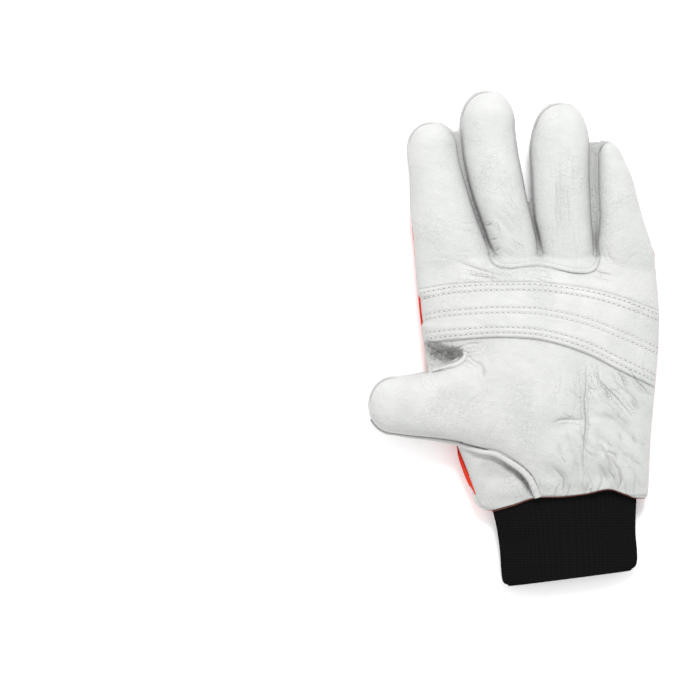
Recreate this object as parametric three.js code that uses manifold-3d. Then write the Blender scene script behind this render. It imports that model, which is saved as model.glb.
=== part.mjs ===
// A padded leather work glove for the left hand, lying on its back with the palm up.
// Millimetres, +Z up. +Y runs from the wrist to the fingertips and the thumb points to -X.
// Plan positions start on the palm's midline, where the middle and ring fingers part.
import * as THREE from "three";
import { mergeVertices } from "three/addons/utils/BufferGeometryUtils.js";
import Module from "manifold-3d";

const wasm = await Module();
wasm.setup();

// Hand of the glove
const palmWidth = 132;
const palmLength = 127; // finger webs to the leather's hem
const palmDepth = 32; // floor to the top of the palm
const seamHeight = 12; // floor to the side seam between front and back
const webOverhang = 4; // how far the palm runs on between the finger roots
const webRounding = 6; // length over which it rounds off there

// Fingers and thumb
const indexLength = 75;
const middleLength = 92;
const ringLength = 85.5;
const littleLength = 65;
const fingerDepth = 24;
const fingerRoot = 7; // length of a finger's tube inside the palm
const thumbLength = 80;
const thumbWidth = 30;
const fourchetteHeight = 8;

// Leather, padding and seams
const leatherWall = 1.5;
const padThickness = 5;
const seamGap = 0.3;
const strapThickness = 1.4;
const thumbWeltRadius = 1.1;
const fingerWeltRadius = 0.8;

// Knit cuff
const cuffWidth = 78;
const cuffDepth = 15;
const cuffLength = 44; // shown below the hem
const cuffTuck = 7; // hidden inside the leather
const cuffWall = 2.2;
const cuffRibs = 32;
const cuffRibDepth = 0.7;
const cuffTopSlope = 0.09;
const cuffHemSlope = 0.128;

// Palm and wrist. along: share of palmLength from the finger webs. left, right: shares of palmWidth.
// high: share of palmDepth. seam: share of seamHeight. pad: share of padThickness.
const PALM_SECTIONS = [
  { along: -1.035, left: -0.247, right: 0.432, high: 0.585, seam: 0.8, pad: 0.3 },
  { along: -0.985, left: -0.262, right: 0.45, high: 0.66, seam: 0.84, pad: 0.3 },
  { along: -0.928, left: -0.28, right: 0.453, high: 0.8, seam: 0.9, pad: 0.3 },
  { along: -0.787, left: -0.333, right: 0.458, high: 0.94, seam: 1, pad: 1 },
  { along: -0.63, left: -0.391, right: 0.47, high: 1, seam: 1, pad: 1 },
  { along: -0.481, left: -0.448, right: 0.482, high: 1, seam: 1, pad: 1 },
  { along: -0.353, left: -0.4685, right: 0.492, high: 0.97, seam: 1, pad: 1 },
  { along: -0.213, left: -0.489, right: 0.494, high: 0.92, seam: 1, pad: 1 },
  { along: -0.119, left: -0.496, right: 0.488, high: 0.85, seam: 1, pad: 1 },
  { along: 0, left: -0.505, right: 0.477, high: 0.74, seam: 1, pad: 0.8 },
];

// Where the leather has the cuff's section: from beyond the hem to its lowest point. Shares of palmLength.
const RIM = [-1.14, -1.075];

// Left and right edges of the fingers in plan. along: share of middleLength. The others: shares of palmWidth.
const FINGER_EDGES = [
  { along: -0.08, index: [-0.492, -0.182], middle: [-0.176, 0.007], ring: [0.014, 0.233], little: [0.239, 0.478] },
  { along: 0, index: [-0.505, -0.187], middle: [-0.181, 0.005], ring: [0.012, 0.232], little: [0.239, 0.477] },
  { along: 0.13, index: [-0.514, -0.22], middle: [-0.21, -0.007], ring: [0.001, 0.226], little: [0.234, 0.456] },
  { along: 0.25, index: [-0.522, -0.252], middle: [-0.24, -0.026], ring: [-0.018, 0.219], little: [0.228, 0.428] },
  { along: 0.364, index: [-0.525, -0.278], middle: [-0.268, -0.046], ring: [-0.026, 0.215], little: [0.223, 0.407] },
  { along: 0.493, index: [-0.527, -0.304], middle: [-0.293, -0.063], ring: [-0.031, 0.211], little: [0.219, 0.383] },
  { along: 0.65, index: [-0.538, -0.324], middle: [-0.313, -0.084], ring: [-0.037, 0.211], little: [0.219, 0.336] },
  { along: 0.816, index: [-0.538, -0.33], middle: [-0.322, -0.096], ring: [-0.023, 0.2], little: [0.219, 0.3] },
  { along: 1, index: [-0.538, -0.33], middle: [-0.322, -0.096], ring: [-0.023, 0.2], little: [0.219, 0.3] },
];

// round: length of the rounded tip. back: where the finger's leather back begins. Shares of its length.
const FINGERS = [
  { name: "index", length: indexLength, round: 0.22, back: 0.35 },
  { name: "middle", length: middleLength, round: 0.19, back: 0.34 },
  { name: "ring", length: ringLength, round: 0.21, back: 0.34 },
  { name: "little", length: littleLength, round: 0.12, back: 0.38 },
];

// Height of a finger along it. along: share of its length from the webs. high: share of fingerDepth.
const FINGER_RISE = [
  { along: -0.1, high: 0.86 },
  { along: 0, high: 0.93 },
  { along: 0.3, high: 1 },
  { along: 1, high: 0.95 },
];

// Thumb. along: share of thumbLength from its root. centre: share of palmLength. wide: share of thumbWidth.
// low, seam, high: shares of palmDepth.
const THUMB_ROOT = -0.092; // share of palmWidth
const THUMB_ROUND = 0.17; // share of thumbLength
const THUMB_SECTIONS = [
  { along: -0.17, centre: -0.834, wide: 1.385, low: 0.36, seam: 0.44, high: 0.74 },
  { along: -0.108, centre: -0.715, wide: 1.62, low: 0.34, seam: 0.5, high: 0.84 },
  { along: 0, centre: -0.63, wide: 1.736, low: 0.31, seam: 0.56, high: 0.95 },
  { along: 0.19, centre: -0.582, wide: 1.68, low: 0.3, seam: 0.59, high: 1 },
  { along: 0.37, centre: -0.583, wide: 1.48, low: 0.28, seam: 0.6, high: 1.02 },
  { along: 0.53, centre: -0.609, wide: 1.133, low: 0.27, seam: 0.6, high: 1 },
  { along: 0.72, centre: -0.606, wide: 1.025, low: 0.26, seam: 0.58, high: 0.97 },
  { along: 0.84, centre: -0.604, wide: 0.96, low: 0.25, seam: 0.55, high: 0.93 },
];

// Dents and folds of the palm. x, wide: shares of palmWidth. y, long: shares of palmLength.
// turn: degrees from +X. deep: share of palmDepth.
const FOLDS = [
  { x: -0.175, y: -0.9, long: 0.13, wide: 0.09, turn: -40, deep: 0.25 }, // hollow under the thumb
  { x: -0.405, y: -0.41, long: 0.075, wide: 0.055, turn: -20, deep: 0.24 }, // pocket in the thumb's crotch
  { x: 0.182, y: -0.63, long: 0.16, wide: 0.03, turn: 90, deep: 0.06 },
  { x: 0.115, y: -0.69, long: 0.07, wide: 0.03, turn: 18, deep: 0.045 },
  { x: 0.317, y: -0.54, long: 0.13, wide: 0.03, turn: -50, deep: 0.05 },
  { x: 0.325, y: -0.725, long: 0.1, wide: 0.042, turn: -38, deep: 0.07 },
  { x: 0.25, y: -0.915, long: 0.06, wide: 0.045, turn: -40, deep: 0.09 },
  { x: 0.06, y: -0.915, long: 0.08, wide: 0.032, turn: -42, deep: 0.07 },
  { x: -0.25, y: -0.04, long: 0.09, wide: 0.028, turn: -20, deep: 0.035 },
];

// Strap across the palm. across: share of palmWidth. upper, lower: shares of palmLength.
const STRAP_EDGES = [
  { across: -0.56, upper: -0.142, lower: -0.362 },
  { across: -0.49, upper: -0.124, lower: -0.343 },
  { across: -0.34, upper: -0.093, lower: -0.326 },
  { across: -0.157, upper: -0.081, lower: -0.321 },
  { across: -0.03, upper: -0.08, lower: -0.324 },
  { across: 0.06, upper: -0.087, lower: -0.343 },
  { across: 0.2, upper: -0.106, lower: -0.394 },
  { across: 0.317, upper: -0.136, lower: -0.455 },
  { across: 0.5, upper: -0.208, lower: -0.547 },
  { across: 0.57, upper: -0.242, lower: -0.59 },
];

// Seam at the roots of the middle and ring fingers. across: share of palmWidth. along: share of palmLength.
const GUNN_SEAM = [
  { across: -0.184, along: 0 },
  { across: -0.137, along: -0.017 },
  { across: -0.018, along: -0.01 },
  { across: 0.076, along: -0.028 },
  { across: 0.17, along: -0.042 },
  { across: 0.21, along: -0.03 },
  { across: 0.2355, along: -0.004 },
];

// Gathered hem of the leather. across: share of cuffWidth from the cuff's centre. drop: share of cuffLength.
const HEM = [
  { across: -0.9, drop: 0.19 },
  { across: -0.53, drop: 0.185 },
  { across: -0.38, drop: 0.12 },
  { across: -0.18, drop: 0.012 },
  { across: -0.03, drop: 0.005 },
  { across: 0.14, drop: -0.03 },
  { across: 0.3, drop: -0.085 },
  { across: 0.4, drop: -0.03 },
  { across: 0.5, drop: 0.025 },
  { across: 0.9, drop: 0.03 },
];

// Cuff. along: share of cuffLength from the hem. wide: share of cuffWidth. lift: share of the leather below.
// slope: rise of the section towards the little finger's side.
const CUFF_SECTIONS = [
  { along: -1, side: "bottom", wide: 0.942, lift: 0, slope: cuffHemSlope },
  { along: -0.5, side: "bottom", wide: 0.95, lift: 0, slope: cuffHemSlope },
  { along: -0.25, side: "top", wide: 0.99, lift: 1, slope: cuffTopSlope },
];

// Points of a side strip along a finger, and of the middle fingers' outline. Shares of the finger's length.
const FOURCHETTE_POINTS = [0.005, 0.34, 0.67, 0.96];
const OUTLINE_POINTS = [1.1, 0.77, 0.5, 0.22, 0.09];
const GUSSET_REACH = 0.62; // share of thumbLength
const TIP_ANGLES = [25, 50, 75, 100, 125]; // how far the thumb's seam runs round its tip

const CUFF_CENTRE = { top: 0.11 * palmWidth, bottom: 0.133 * palmWidth };
const FRONT_ROUNDNESS = 2.4; // also the cuff's
const BACK_ROUNDNESS = 4;
const BELLY = 1.5; // how far the flattened back would bulge below the floor
const FAR = 400;

const radians = (angle) => THREE.MathUtils.degToRad(angle);

// A smooth curve through a table's rows that never overshoots them.
function curveThrough(rows, key, value) {
  const at = rows.map(key);
  const held = rows.map(value);
  const slopes = held.slice(1).map((v, k) => (v - held[k]) / (at[k + 1] - at[k]));
  const tangents = held.map((v, k) => {
    const before = slopes[Math.max(k - 1, 0)];
    const after = slopes[Math.min(k, slopes.length - 1)];
    return before * after <= 0 ? 0 : (2 * before * after) / (before + after);
  });
  return (t) => {
    const x = Math.min(Math.max(t, at[0]), at[at.length - 1]);
    const k = Math.min(at.filter((a) => a <= x).length - 1, at.length - 2);
    const width = at[k + 1] - at[k];
    const s = (x - at[k]) / width;
    const rise = s * s * (3 - 2 * s);
    const ease = s * (1 - s);
    return (
      held[k] * (1 - rise) +
      held[k + 1] * rise +
      width * ease * ((1 - s) * tangents[k] - s * tangents[k + 1])
    );
  };
}

// How far the folds press the palm's surface down at a plan position. They fade out over the cuff.
function foldDepth(x, y) {
  const fade = THREE.MathUtils.smoothstep(y, -palmLength, -palmLength + cuffTuck * 1.5);
  return fade * FOLDS.reduce((sum, fold) => {
    const dx = x - fold.x * palmWidth;
    const dy = y - fold.y * palmLength;
    const c = Math.cos(radians(fold.turn));
    const s = Math.sin(radians(fold.turn));
    const long = (dx * c + dy * s) / (fold.long * palmLength);
    const wide = (dy * c - dx * s) / (fold.wide * palmWidth);
    return sum + fold.deep * palmDepth * Math.exp(-long * long - wide * wide);
  }, 0);
}

// The palm's hem takes the cuff's own section, one gap and one wall further out.
function palmForm() {
  const reach = seamGap + leatherWall;
  const rim = {
    left: (CUFF_CENTRE.top - cuffWidth / 2 - reach) / palmWidth,
    right: (CUFF_CENTRE.top + cuffWidth / 2 + reach) / palmWidth,
    high: (cuffDepth + 2 * reach) / palmDepth,
    seam: (cuffDepth / 2 + reach) / seamHeight,
    pad: leatherWall / padThickness,
  };
  const rows = [...RIM.map((along) => ({ along, ...rim })), ...PALM_SECTIONS];
  const column = (name, size) => curveThrough(rows, (r) => r.along * palmLength, (r) => r[name] * size);
  return {
    start: rows[0].along * palmLength,
    end: webOverhang,
    round: webRounding,
    stations: 22,
    upper: 18,
    lower: 6,
    spread: 0.5,
    left: column("left", palmWidth),
    right: column("right", palmWidth),
    low: () => 0,
    belly: BELLY,
    seam: column("seam", seamHeight),
    high: column("high", palmDepth),
    backWall: column("pad", padThickness),
    place: (along, across, up) => new THREE.Vector3(across, along, up),
    press: foldDepth,
  };
}

function fingerForm(finger) {
  const reach = (r) => r.along * middleLength;
  const edge = (side) => curveThrough(FINGER_EDGES, reach, (r) => r[finger.name][side] * palmWidth);
  const pad = [
    { at: -fingerRoot, thick: padThickness },
    { at: finger.length * finger.back, thick: leatherWall },
  ];
  return {
    start: -fingerRoot,
    end: finger.length,
    round: finger.round * finger.length,
    stations: 5,
    upper: 8,
    lower: 6,
    spread: 1,
    left: edge(0),
    right: edge(1),
    low: () => 0,
    belly: BELLY,
    seam: () => seamHeight,
    high: curveThrough(FINGER_RISE, (r) => r.along * finger.length, (r) => r.high * fingerDepth),
    backWall: curveThrough(pad, (r) => r.at, (r) => r.thick),
    place: (along, across, up) => new THREE.Vector3(across, along, up),
    press: () => 0,
  };
}

function thumbForm() {
  const column = (value) => curveThrough(THUMB_SECTIONS, (r) => r.along * thumbLength, value);
  const edge = (side) => column((r) => r.centre * palmLength + (side * r.wide * thumbWidth) / 2);
  return {
    start: THUMB_SECTIONS[0].along * thumbLength,
    end: thumbLength,
    round: THUMB_ROUND * thumbLength,
    stations: 8,
    upper: 8,
    lower: 6,
    spread: 1,
    left: edge(-1),
    right: edge(1),
    low: column((r) => r.low * palmDepth),
    belly: 0,
    seam: column((r) => r.seam * palmDepth),
    high: column((r) => r.high * palmDepth),
    backWall: () => leatherWall,
    place: (along, across, up) => new THREE.Vector3(THUMB_ROOT * palmWidth - along, across, up),
    press: () => 0,
  };
}

// Positions along a form, close together where the tip rounds off, with the tip's share of the full section.
function stationsOf(form, grow) {
  const straight = form.end + Math.min(grow, 0) - form.round;
  const round = form.round + Math.max(grow, 0);
  const even = Array.from({ length: form.stations }, (_, k) => k / form.stations);
  const body = even.map((k) => ({ along: THREE.MathUtils.lerp(form.start, straight, k), share: 1 }));
  const tip = [0, 30, 56, 76].map((angle) => ({
    along: straight + round * Math.sin(radians(angle)),
    share: Math.cos(radians(angle)),
  }));
  return [...body, ...tip];
}

// One section of a form: over the front from left to right, then back below. part is whole, front or back.
function ringOf(form, station, grow, part) {
  const { along, share } = station;
  const left = form.left(along);
  const right = form.right(along);
  const middle = (left + right) / 2;
  const half = ((right - left) / 2 + grow) * share;
  const seam = form.seam(along);
  const rise = (form.high(along) + grow - seam) * share ** 0.8;
  const bottom = grow < 0 ? form.low(along) + form.backWall(along) : form.low(along) - grow - form.belly;
  const sink = (seam - bottom) * share ** 0.8;
  const floor = form.low(along) - Math.max(grow, 0);
  const lowest = part === "front" ? seam + seamGap / 2 : -FAR;
  const highest = part === "back" ? seam - seamGap / 2 : FAR;
  const across = (count, k) => {
    const angle = Math.PI * (k / count - 0.5);
    return form.spread * Math.sin(angle) + (1 - form.spread) * (angle / (Math.PI / 2));
  };
  const points = [];
  for (let k = 0; k <= form.upper; k++) {
    const u = across(form.upper, k);
    const w = Math.max(1 - Math.abs(u) ** FRONT_ROUNDNESS, 0) ** (1 / FRONT_ROUNDNESS);
    const spot = form.place(along, middle + half * u, 0);
    const top = seam + w * (rise - form.press(spot.x, spot.y));
    spot.z = THREE.MathUtils.clamp(top, lowest, highest);
    points.push(spot);
  }
  for (let k = 1; k < form.lower; k++) {
    const u = -across(form.lower, k);
    const w = Math.max(1 - Math.abs(u) ** BACK_ROUNDNESS, 0) ** (1 / BACK_ROUNDNESS);
    const under = Math.max(seam - w * sink, floor);
    const spot = form.place(along, middle + half * u, 0);
    spot.z = THREE.MathUtils.clamp(under, lowest, highest);
    points.push(spot);
  }
  return points;
}

// A closed surface through rings of equal count. Fans close its ends, the last one at an apex if given.
// looped joins the last ring to the first instead.
function loft(rings, { looped = false, apex } = {}) {
  const count = rings[0].length;
  const vertices = rings.flat();
  const triangles = [];
  const quads = looped ? rings.length : rings.length - 1;
  for (let i = 0; i < quads; i++) {
    const next = (i + 1) % rings.length;
    for (let k = 0; k < count; k++) {
      const a = i * count + k;
      const b = i * count + ((k + 1) % count);
      const c = next * count + k;
      const d = next * count + ((k + 1) % count);
      triangles.push(a, c, b, b, c, d);
    }
  }
  if (!looped) {
    for (const [ring, flip] of [[0, true], [rings.length - 1, false]]) {
      const hub = vertices.length;
      const centre = rings[ring].reduce((sum, p) => sum.add(p), new THREE.Vector3()).divideScalar(count);
      vertices.push(ring && apex ? apex : centre);
      for (let k = 0; k < count; k++) {
        const a = ring * count + k;
        const b = ring * count + ((k + 1) % count);
        triangles.push(hub, flip ? a : b, flip ? b : a);
      }
    }
  }
  const geometry = new THREE.BufferGeometry().setFromPoints(vertices);
  geometry.setIndex(triangles);
  return geometry;
}

// A closed geometry as a solid for cutting and joining, turned so that its faces look outwards.
function solidOf(geometry) {
  geometry.deleteAttribute("normal");
  geometry.deleteAttribute("uv");
  const merged = mergeVertices(geometry, 1e-4);
  const triVerts = new Uint32Array(merged.index.array);
  const vertProperties = merged.attributes.position.array;
  const make = () => new wasm.Manifold(new wasm.Mesh({ numProp: 3, vertProperties, triVerts }));
  const made = make();
  if (made.volume() > 0) return made;
  for (let i = 0; i < triVerts.length; i += 3) {
    [triVerts[i + 1], triVerts[i + 2]] = [triVerts[i + 2], triVerts[i + 1]];
  }
  return make();
}

function strip(form, grow = 0, part = "whole") {
  const rings = stationsOf(form, grow).map((station) => ringOf(form, station, grow, part));
  const tip = form.end + grow;
  const shift = { whole: 0, front: seamGap / 2, back: -seamGap / 2 }[part];
  const apex = form.place(tip, (form.left(tip) + form.right(tip)) / 2, form.seam(tip) + shift);
  return solidOf(loft(rings, { apex }));
}

// An upright prism over a plan outline.
function prism(outline, low = -FAR, high = FAR) {
  const shape = new THREE.Shape(outline);
  const geometry = new THREE.ExtrudeGeometry(shape, { depth: high - low, bevelEnabled: false });
  return solidOf(geometry.translate(0, 0, low));
}

// An outline moved outwards by a distance. Its points run anticlockwise.
function grownOutline(outline, distance) {
  return outline.map((point, k) => {
    const before = outline[(k + outline.length - 1) % outline.length];
    const after = outline[(k + 1) % outline.length];
    const run = after.clone().sub(before).normalize();
    return new THREE.Vector2(point.x + run.y * distance, point.y - run.x * distance);
  });
}

const joined = (solids) => solids.reduce((sum, solid) => sum.add(solid));
const without = (solid, cutters) => cutters.reduce((left, cutter) => left.subtract(cutter), solid);

// The piece itself, without the loose slivers that a cut leaves.
function mainBody(solid) {
  return solid.decompose().reduce((best, body) => (body.volume() > best.volume() ? body : best));
}

function beyond(y) {
  const corners = [[-FAR, y], [FAR, y], [FAR, FAR], [-FAR, FAR]];
  return prism(corners.map((corner) => new THREE.Vector2(...corner)));
}

// Height of the palm's outer surface at a plan position.
function palmHeight(form, x, y) {
  const straight = form.end - form.round;
  const reach = THREE.MathUtils.clamp((y - straight) / form.round, 0, 1);
  const share = Math.sqrt(1 - reach * reach);
  const left = form.left(y);
  const right = form.right(y);
  const u = Math.abs(x - (left + right) / 2) / (((right - left) / 2) * Math.max(share, 0.1));
  const w = Math.max(1 - u ** FRONT_ROUNDNESS, 0) ** (1 / FRONT_ROUNDNESS);
  const seam = form.seam(y);
  const rise = (form.high(y) - seam) * share ** 0.8;
  return seam + w * (rise - form.press(x, y));
}

function tube(points, radius, steps) {
  const path = new THREE.CatmullRomCurve3(points);
  const circle = new THREE.Shape();
  circle.absarc(0, 0, radius, 0, Math.PI * 2);
  return solidOf(
    new THREE.ExtrudeGeometry(circle, { steps, curveSegments: 3, bevelEnabled: false, extrudePath: path }),
  );
}

const palm = palmForm();
const thumb = thumbForm();
const fingers = FINGERS.map((finger) => ({ ...finger, form: fingerForm(finger) }));

// Plan outline of the strip between two neighbouring fingers, from axis to axis.
function fourchetteOutline(near, far) {
  const chain = ({ length, form }) =>
    FOURCHETTE_POINTS.map((share) => {
      const y = share * length;
      return new THREE.Vector2((form.left(y) + form.right(y)) / 2, y);
    });
  return [...chain(near).reverse(), ...chain(far)];
}

const fourchettes = fingers.slice(1).map((far, k) => ({
  name: "fourchette_" + fingers[k].name + "_" + far.name,
  outline: fourchetteOutline(fingers[k], far),
}));
const fourchetteLow = seamHeight - fourchetteHeight / 2;
const fourchetteHigh = seamHeight + fourchetteHeight / 2;

// Plan outline round the fronts of the middle and ring fingers, down to the seam at their roots.
function gunnOutline() {
  const [index, middle, ring, little] = fingers;
  const between = (near, far) =>
    OUTLINE_POINTS.map((share) => {
      const y = share * middleLength;
      return new THREE.Vector2((near.form.right(y) + far.form.left(y)) / 2, y);
    });
  const root = GUNN_SEAM.map(
    (r) => new THREE.Vector2(r.across * palmWidth, r.along * palmLength),
  );
  return [...between(index, middle), ...root, ...between(ring, little).reverse()];
}

// Plan outline of the leather below the thumb's seam, down past the hem.
function gussetOutline() {
  const from = thumb.start;
  const to = thumbLength * GUSSET_REACH;
  const count = 12;
  const rim = Array.from({ length: count + 1 }, (_, k) => {
    const along = THREE.MathUtils.lerp(to, from, k / count);
    const spot = thumb.place(along, thumb.left(along), 0);
    return new THREE.Vector2(spot.x, spot.y);
  });
  const foot = palm.start - 1;
  const last = rim[rim.length - 1];
  return [new THREE.Vector2(last.x, foot), ...rim.reverse(), new THREE.Vector2(rim[rim.length - 1].x, foot)];
}

function strapOutline() {
  const point = (r, name) => new THREE.Vector2(r.across * palmWidth, r[name] * palmLength);
  const side = (name) => STRAP_EDGES.map((r) => point(r, name));
  return [...side("lower"), ...side("upper").reverse()];
}

function hemOutline() {
  const hem = HEM.map(
    (r) => new THREE.Vector2(CUFF_CENTRE.top + r.across * cuffWidth, -palmLength - r.drop * cuffLength),
  );
  const corners = [[FAR, hem[hem.length - 1].y], [FAR, FAR], [-FAR, FAR], [-FAR, hem[0].y]];
  return [...hem, ...corners.map(([x, y]) => new THREE.Vector2(x, y))];
}

// The hollow that the hand fills, and the whole glove one gap further out.
const hollow = joined([palm, thumb, ...fingers.map((f) => f.form)].map((form) => strip(form, -leatherWall)));
const palmAndFingers = [palm, ...fingers.map((f) => f.form)];
const handGrown = joined(palmAndFingers.map((form) => strip(form, seamGap)));
const thumbGrown = strip(thumb, seamGap);

const fourchetteCuts = fourchettes.map(({ outline }) =>
  prism(grownOutline(outline, seamGap), fourchetteLow - seamGap, fourchetteHigh + seamGap),
);
const aboveHem = prism(hemOutline());
const gunn = gunnOutline();
const gusset = gussetOutline();
const fronts = joined(palmAndFingers.map((form) => strip(form, 0, "front")));

function palmLeather() {
  const front = fronts.add(strip(thumb, 0, "front")).intersect(aboveHem);
  const cuts = [hollow, ...fourchetteCuts, prism(grownOutline(gunn, seamGap)), prism(gusset)];
  return without(front, cuts);
}

function middleRingFront() {
  return without(fronts.intersect(prism(gunn)), [hollow, ...fourchetteCuts]);
}

function thumbBack() {
  return without(strip(thumb, 0, "back"), [hollow, handGrown]);
}

function thumbGusset() {
  const region = prism(grownOutline(gusset, -seamGap));
  return without(fronts.intersect(region).intersect(aboveHem), [hollow, thumbGrown]);
}

function fingerBack({ form, length, back }) {
  const tip = strip(form, 0, "back").intersect(beyond(length * back + seamGap));
  return without(tip, [hollow, ...fourchetteCuts]);
}

function backPanel() {
  const root = ({ form, length, back }) => strip(form, 0, "back").subtract(beyond(length * back));
  const roots = fingers.map(root);
  const panel = joined([strip(palm, 0, "back"), ...roots]).intersect(aboveHem);
  return without(panel, [hollow, ...fourchetteCuts]);
}

function fourchette({ outline }) {
  const shell = joined(palmAndFingers.map((form) => strip(form)));
  return shell.intersect(prism(outline, fourchetteLow, fourchetteHigh)).subtract(hollow);
}

function palmStrap() {
  const over = strip(palm, seamGap + strapThickness, "front").intersect(prism(strapOutline()));
  return without(over, [handGrown, thumbGrown]);
}

// The rolled seam follows the thumb's lower edge and lies on the palm where the thumb joins it.
function thumbWelt() {
  const reach = thumbWeltRadius + seamGap;
  const straight = thumbLength - thumb.round;
  const lay = (along, across) => {
    const spot = thumb.place(along, across, 0);
    spot.z = Math.max(thumb.seam(along), palmHeight(palm, spot.x, spot.y) + reach);
    return spot;
  };
  const side = Array.from({ length: 13 }, (_, k) => {
    const along = THREE.MathUtils.lerp(thumb.start, straight, k / 12);
    return lay(along, thumb.left(along) - reach);
  });
  const middle = (thumb.left(straight) + thumb.right(straight)) / 2;
  const half = (thumb.right(straight) - thumb.left(straight)) / 2 + reach;
  const tip = TIP_ANGLES.map(radians).map((angle) =>
    lay(straight + (thumb.round + reach) * Math.sin(angle), middle - half * Math.cos(angle)),
  );
  const roll = tube([...side, ...tip], thumbWeltRadius, 30);
  return without(roll.intersect(aboveHem), [handGrown, thumbGrown]);
}

function fingerSeamWelt() {
  const points = GUNN_SEAM.slice(1, -1).map((r) => {
    const x = r.across * palmWidth;
    const y = r.along * palmLength;
    return new THREE.Vector3(x, y, palmHeight(palm, x, y) + fingerWeltRadius);
  });
  return tube(points, fingerWeltRadius, 14).subtract(handGrown);
}

// A ribbed tube whose inner wall is smooth.
function knitCuff() {
  const low = leatherWall + seamGap;
  const tucked = { along: cuffTuck / 2 / cuffLength, side: "top", wide: 1, lift: 1, slope: cuffTopSlope };
  const rows = [...CUFF_SECTIONS, tucked];
  const count = 2 * cuffRibs;
  const ring = (row, inset, ribbed) =>
    Array.from({ length: count }, (_, k) => {
      const angle = (2 * Math.PI * k) / count;
      const power = 2 / FRONT_ROUNDNESS;
      const c = Math.sign(Math.cos(angle)) * Math.abs(Math.cos(angle)) ** power;
      const s = Math.sign(Math.sin(angle)) * Math.abs(Math.sin(angle)) ** power;
      const rib = ribbed && k % 2 ? cuffRibDepth : 0;
      const x = (row.wide * cuffWidth) / 2 - inset - rib;
      const z = cuffDepth / 2 - inset - rib;
      const y = -palmLength + row.along * cuffLength + row.slope * x * c;
      return new THREE.Vector3(CUFF_CENTRE[row.side] + x * c, y, row.lift * low + cuffDepth / 2 + z * s);
    });
  const outer = rows.map((row) => ring(row, 0, true));
  const inner = rows.map((row) => ring(row, cuffWall, false)).reverse();
  return solidOf(loft([...outer, ...inner], { looped: true }));
}

const LEATHER = { color: 0xe7e8e5, roughness: 0.62, metalness: 0 };
const WORN_LEATHER = { color: 0xdcddd8, roughness: 0.68, metalness: 0 };
const FABRIC = { color: 0xff4a22, roughness: 0.85, metalness: 0 };
const KNIT = { color: 0x111312, roughness: 0.95, metalness: 0 };

const glove = new THREE.Group();

function addPiece(name, solid, look) {
  const { vertProperties, triVerts } = mainBody(solid).getMesh();
  const geometry = new THREE.BufferGeometry();
  geometry.setAttribute("position", new THREE.BufferAttribute(vertProperties, 3));
  geometry.setIndex(new THREE.BufferAttribute(triVerts, 1));
  geometry.computeVertexNormals();
  const piece = new THREE.Mesh(geometry, new THREE.MeshStandardMaterial(look));
  piece.name = name;
  glove.add(piece);
}

addPiece("palm_leather", palmLeather(), LEATHER);
addPiece("middle_ring_front", middleRingFront(), LEATHER);
fingers.forEach((finger) => addPiece(finger.name + "_finger_back", fingerBack(finger), LEATHER));
fourchettes.forEach((strap) => addPiece(strap.name, fourchette(strap), WORN_LEATHER));
addPiece("thumb_back", thumbBack(), LEATHER);
addPiece("thumb_gusset", thumbGusset(), LEATHER);
addPiece("thumb_welt", thumbWelt(), LEATHER);
addPiece("finger_seam_welt", fingerSeamWelt(), LEATHER);
addPiece("palm_strap", palmStrap(), LEATHER);
addPiece("back_panel", backPanel(), FABRIC);
addPiece("knit_cuff", knitCuff(), KNIT);

// The origin is the centre of the box's underside.
const box = new THREE.Box3().setFromObject(glove);
const centre = box.getCenter(new THREE.Vector3());
glove.position.set(-centre.x, -centre.y, -box.min.z);

const part = new THREE.Group();
part.add(glove);

export default part;
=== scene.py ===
"""A padded leather work glove for the left hand, lying on its back with the palm up."""

import math

import bmesh
import bpy
import numpy as np
from bpy.props import FloatProperty, FloatVectorProperty, IntProperty, PointerProperty
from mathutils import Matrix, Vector


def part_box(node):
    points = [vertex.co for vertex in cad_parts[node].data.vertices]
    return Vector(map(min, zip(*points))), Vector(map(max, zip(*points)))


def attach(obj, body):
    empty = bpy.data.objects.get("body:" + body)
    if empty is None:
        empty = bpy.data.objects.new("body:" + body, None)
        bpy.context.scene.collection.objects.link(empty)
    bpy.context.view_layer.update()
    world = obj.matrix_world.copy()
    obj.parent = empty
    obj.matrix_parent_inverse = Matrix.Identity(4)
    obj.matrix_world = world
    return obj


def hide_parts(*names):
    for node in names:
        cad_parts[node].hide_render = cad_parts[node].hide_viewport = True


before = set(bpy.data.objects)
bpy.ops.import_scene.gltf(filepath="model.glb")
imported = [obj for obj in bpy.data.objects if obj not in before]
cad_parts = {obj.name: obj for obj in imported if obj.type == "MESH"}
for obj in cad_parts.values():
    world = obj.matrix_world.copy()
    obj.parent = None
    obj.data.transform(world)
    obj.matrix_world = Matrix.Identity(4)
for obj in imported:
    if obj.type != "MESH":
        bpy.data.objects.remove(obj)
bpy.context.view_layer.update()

bl_info = {
    "name": "Padded work glove",
    "version": (1, 0, 0),
    "blender": (4, 5, 0),
    "location": "View3D > Sidebar > Glove",
    "description": "Builds the leather, padding, knit and stitching of a padded work glove",
    "category": "Object",
}

MM = 0.001

# Points of neighbouring grids that are closer than this, in metres, are merged.
MERGE = 0.00002

# Columns of the grids over the fingers' fronts and backs, and over the seam between the index and
# the little finger. The fingers' grids begin at one row, in millimetres from the finger webs.
FRONT_COLS = {"index": 40, "middle": 36, "ring": 38, "little": 36}
BACK_COLS = {"index": 40, "middle": 34, "ring": 38, "little": 36}
ROOT_COLS = 72
FINGER_FOOT = 2.0

# Lengths in millimetres: how far the leather stands out over the cuff, how far the fingers' forms
# run on into the palm, the fillets beside fingers and thumb, and the height of the pocket's floor.
HEM_REACH = 1.8
FINGER_RUN = 16.0
FINGER_FILLET = 2.8
THUMB_FILLET = 3.0
POCKET_FLOOR = 10.5

# Centre of the cuff, as a share of the palm's width.
CUFF_CENTRE = 0.11

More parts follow.
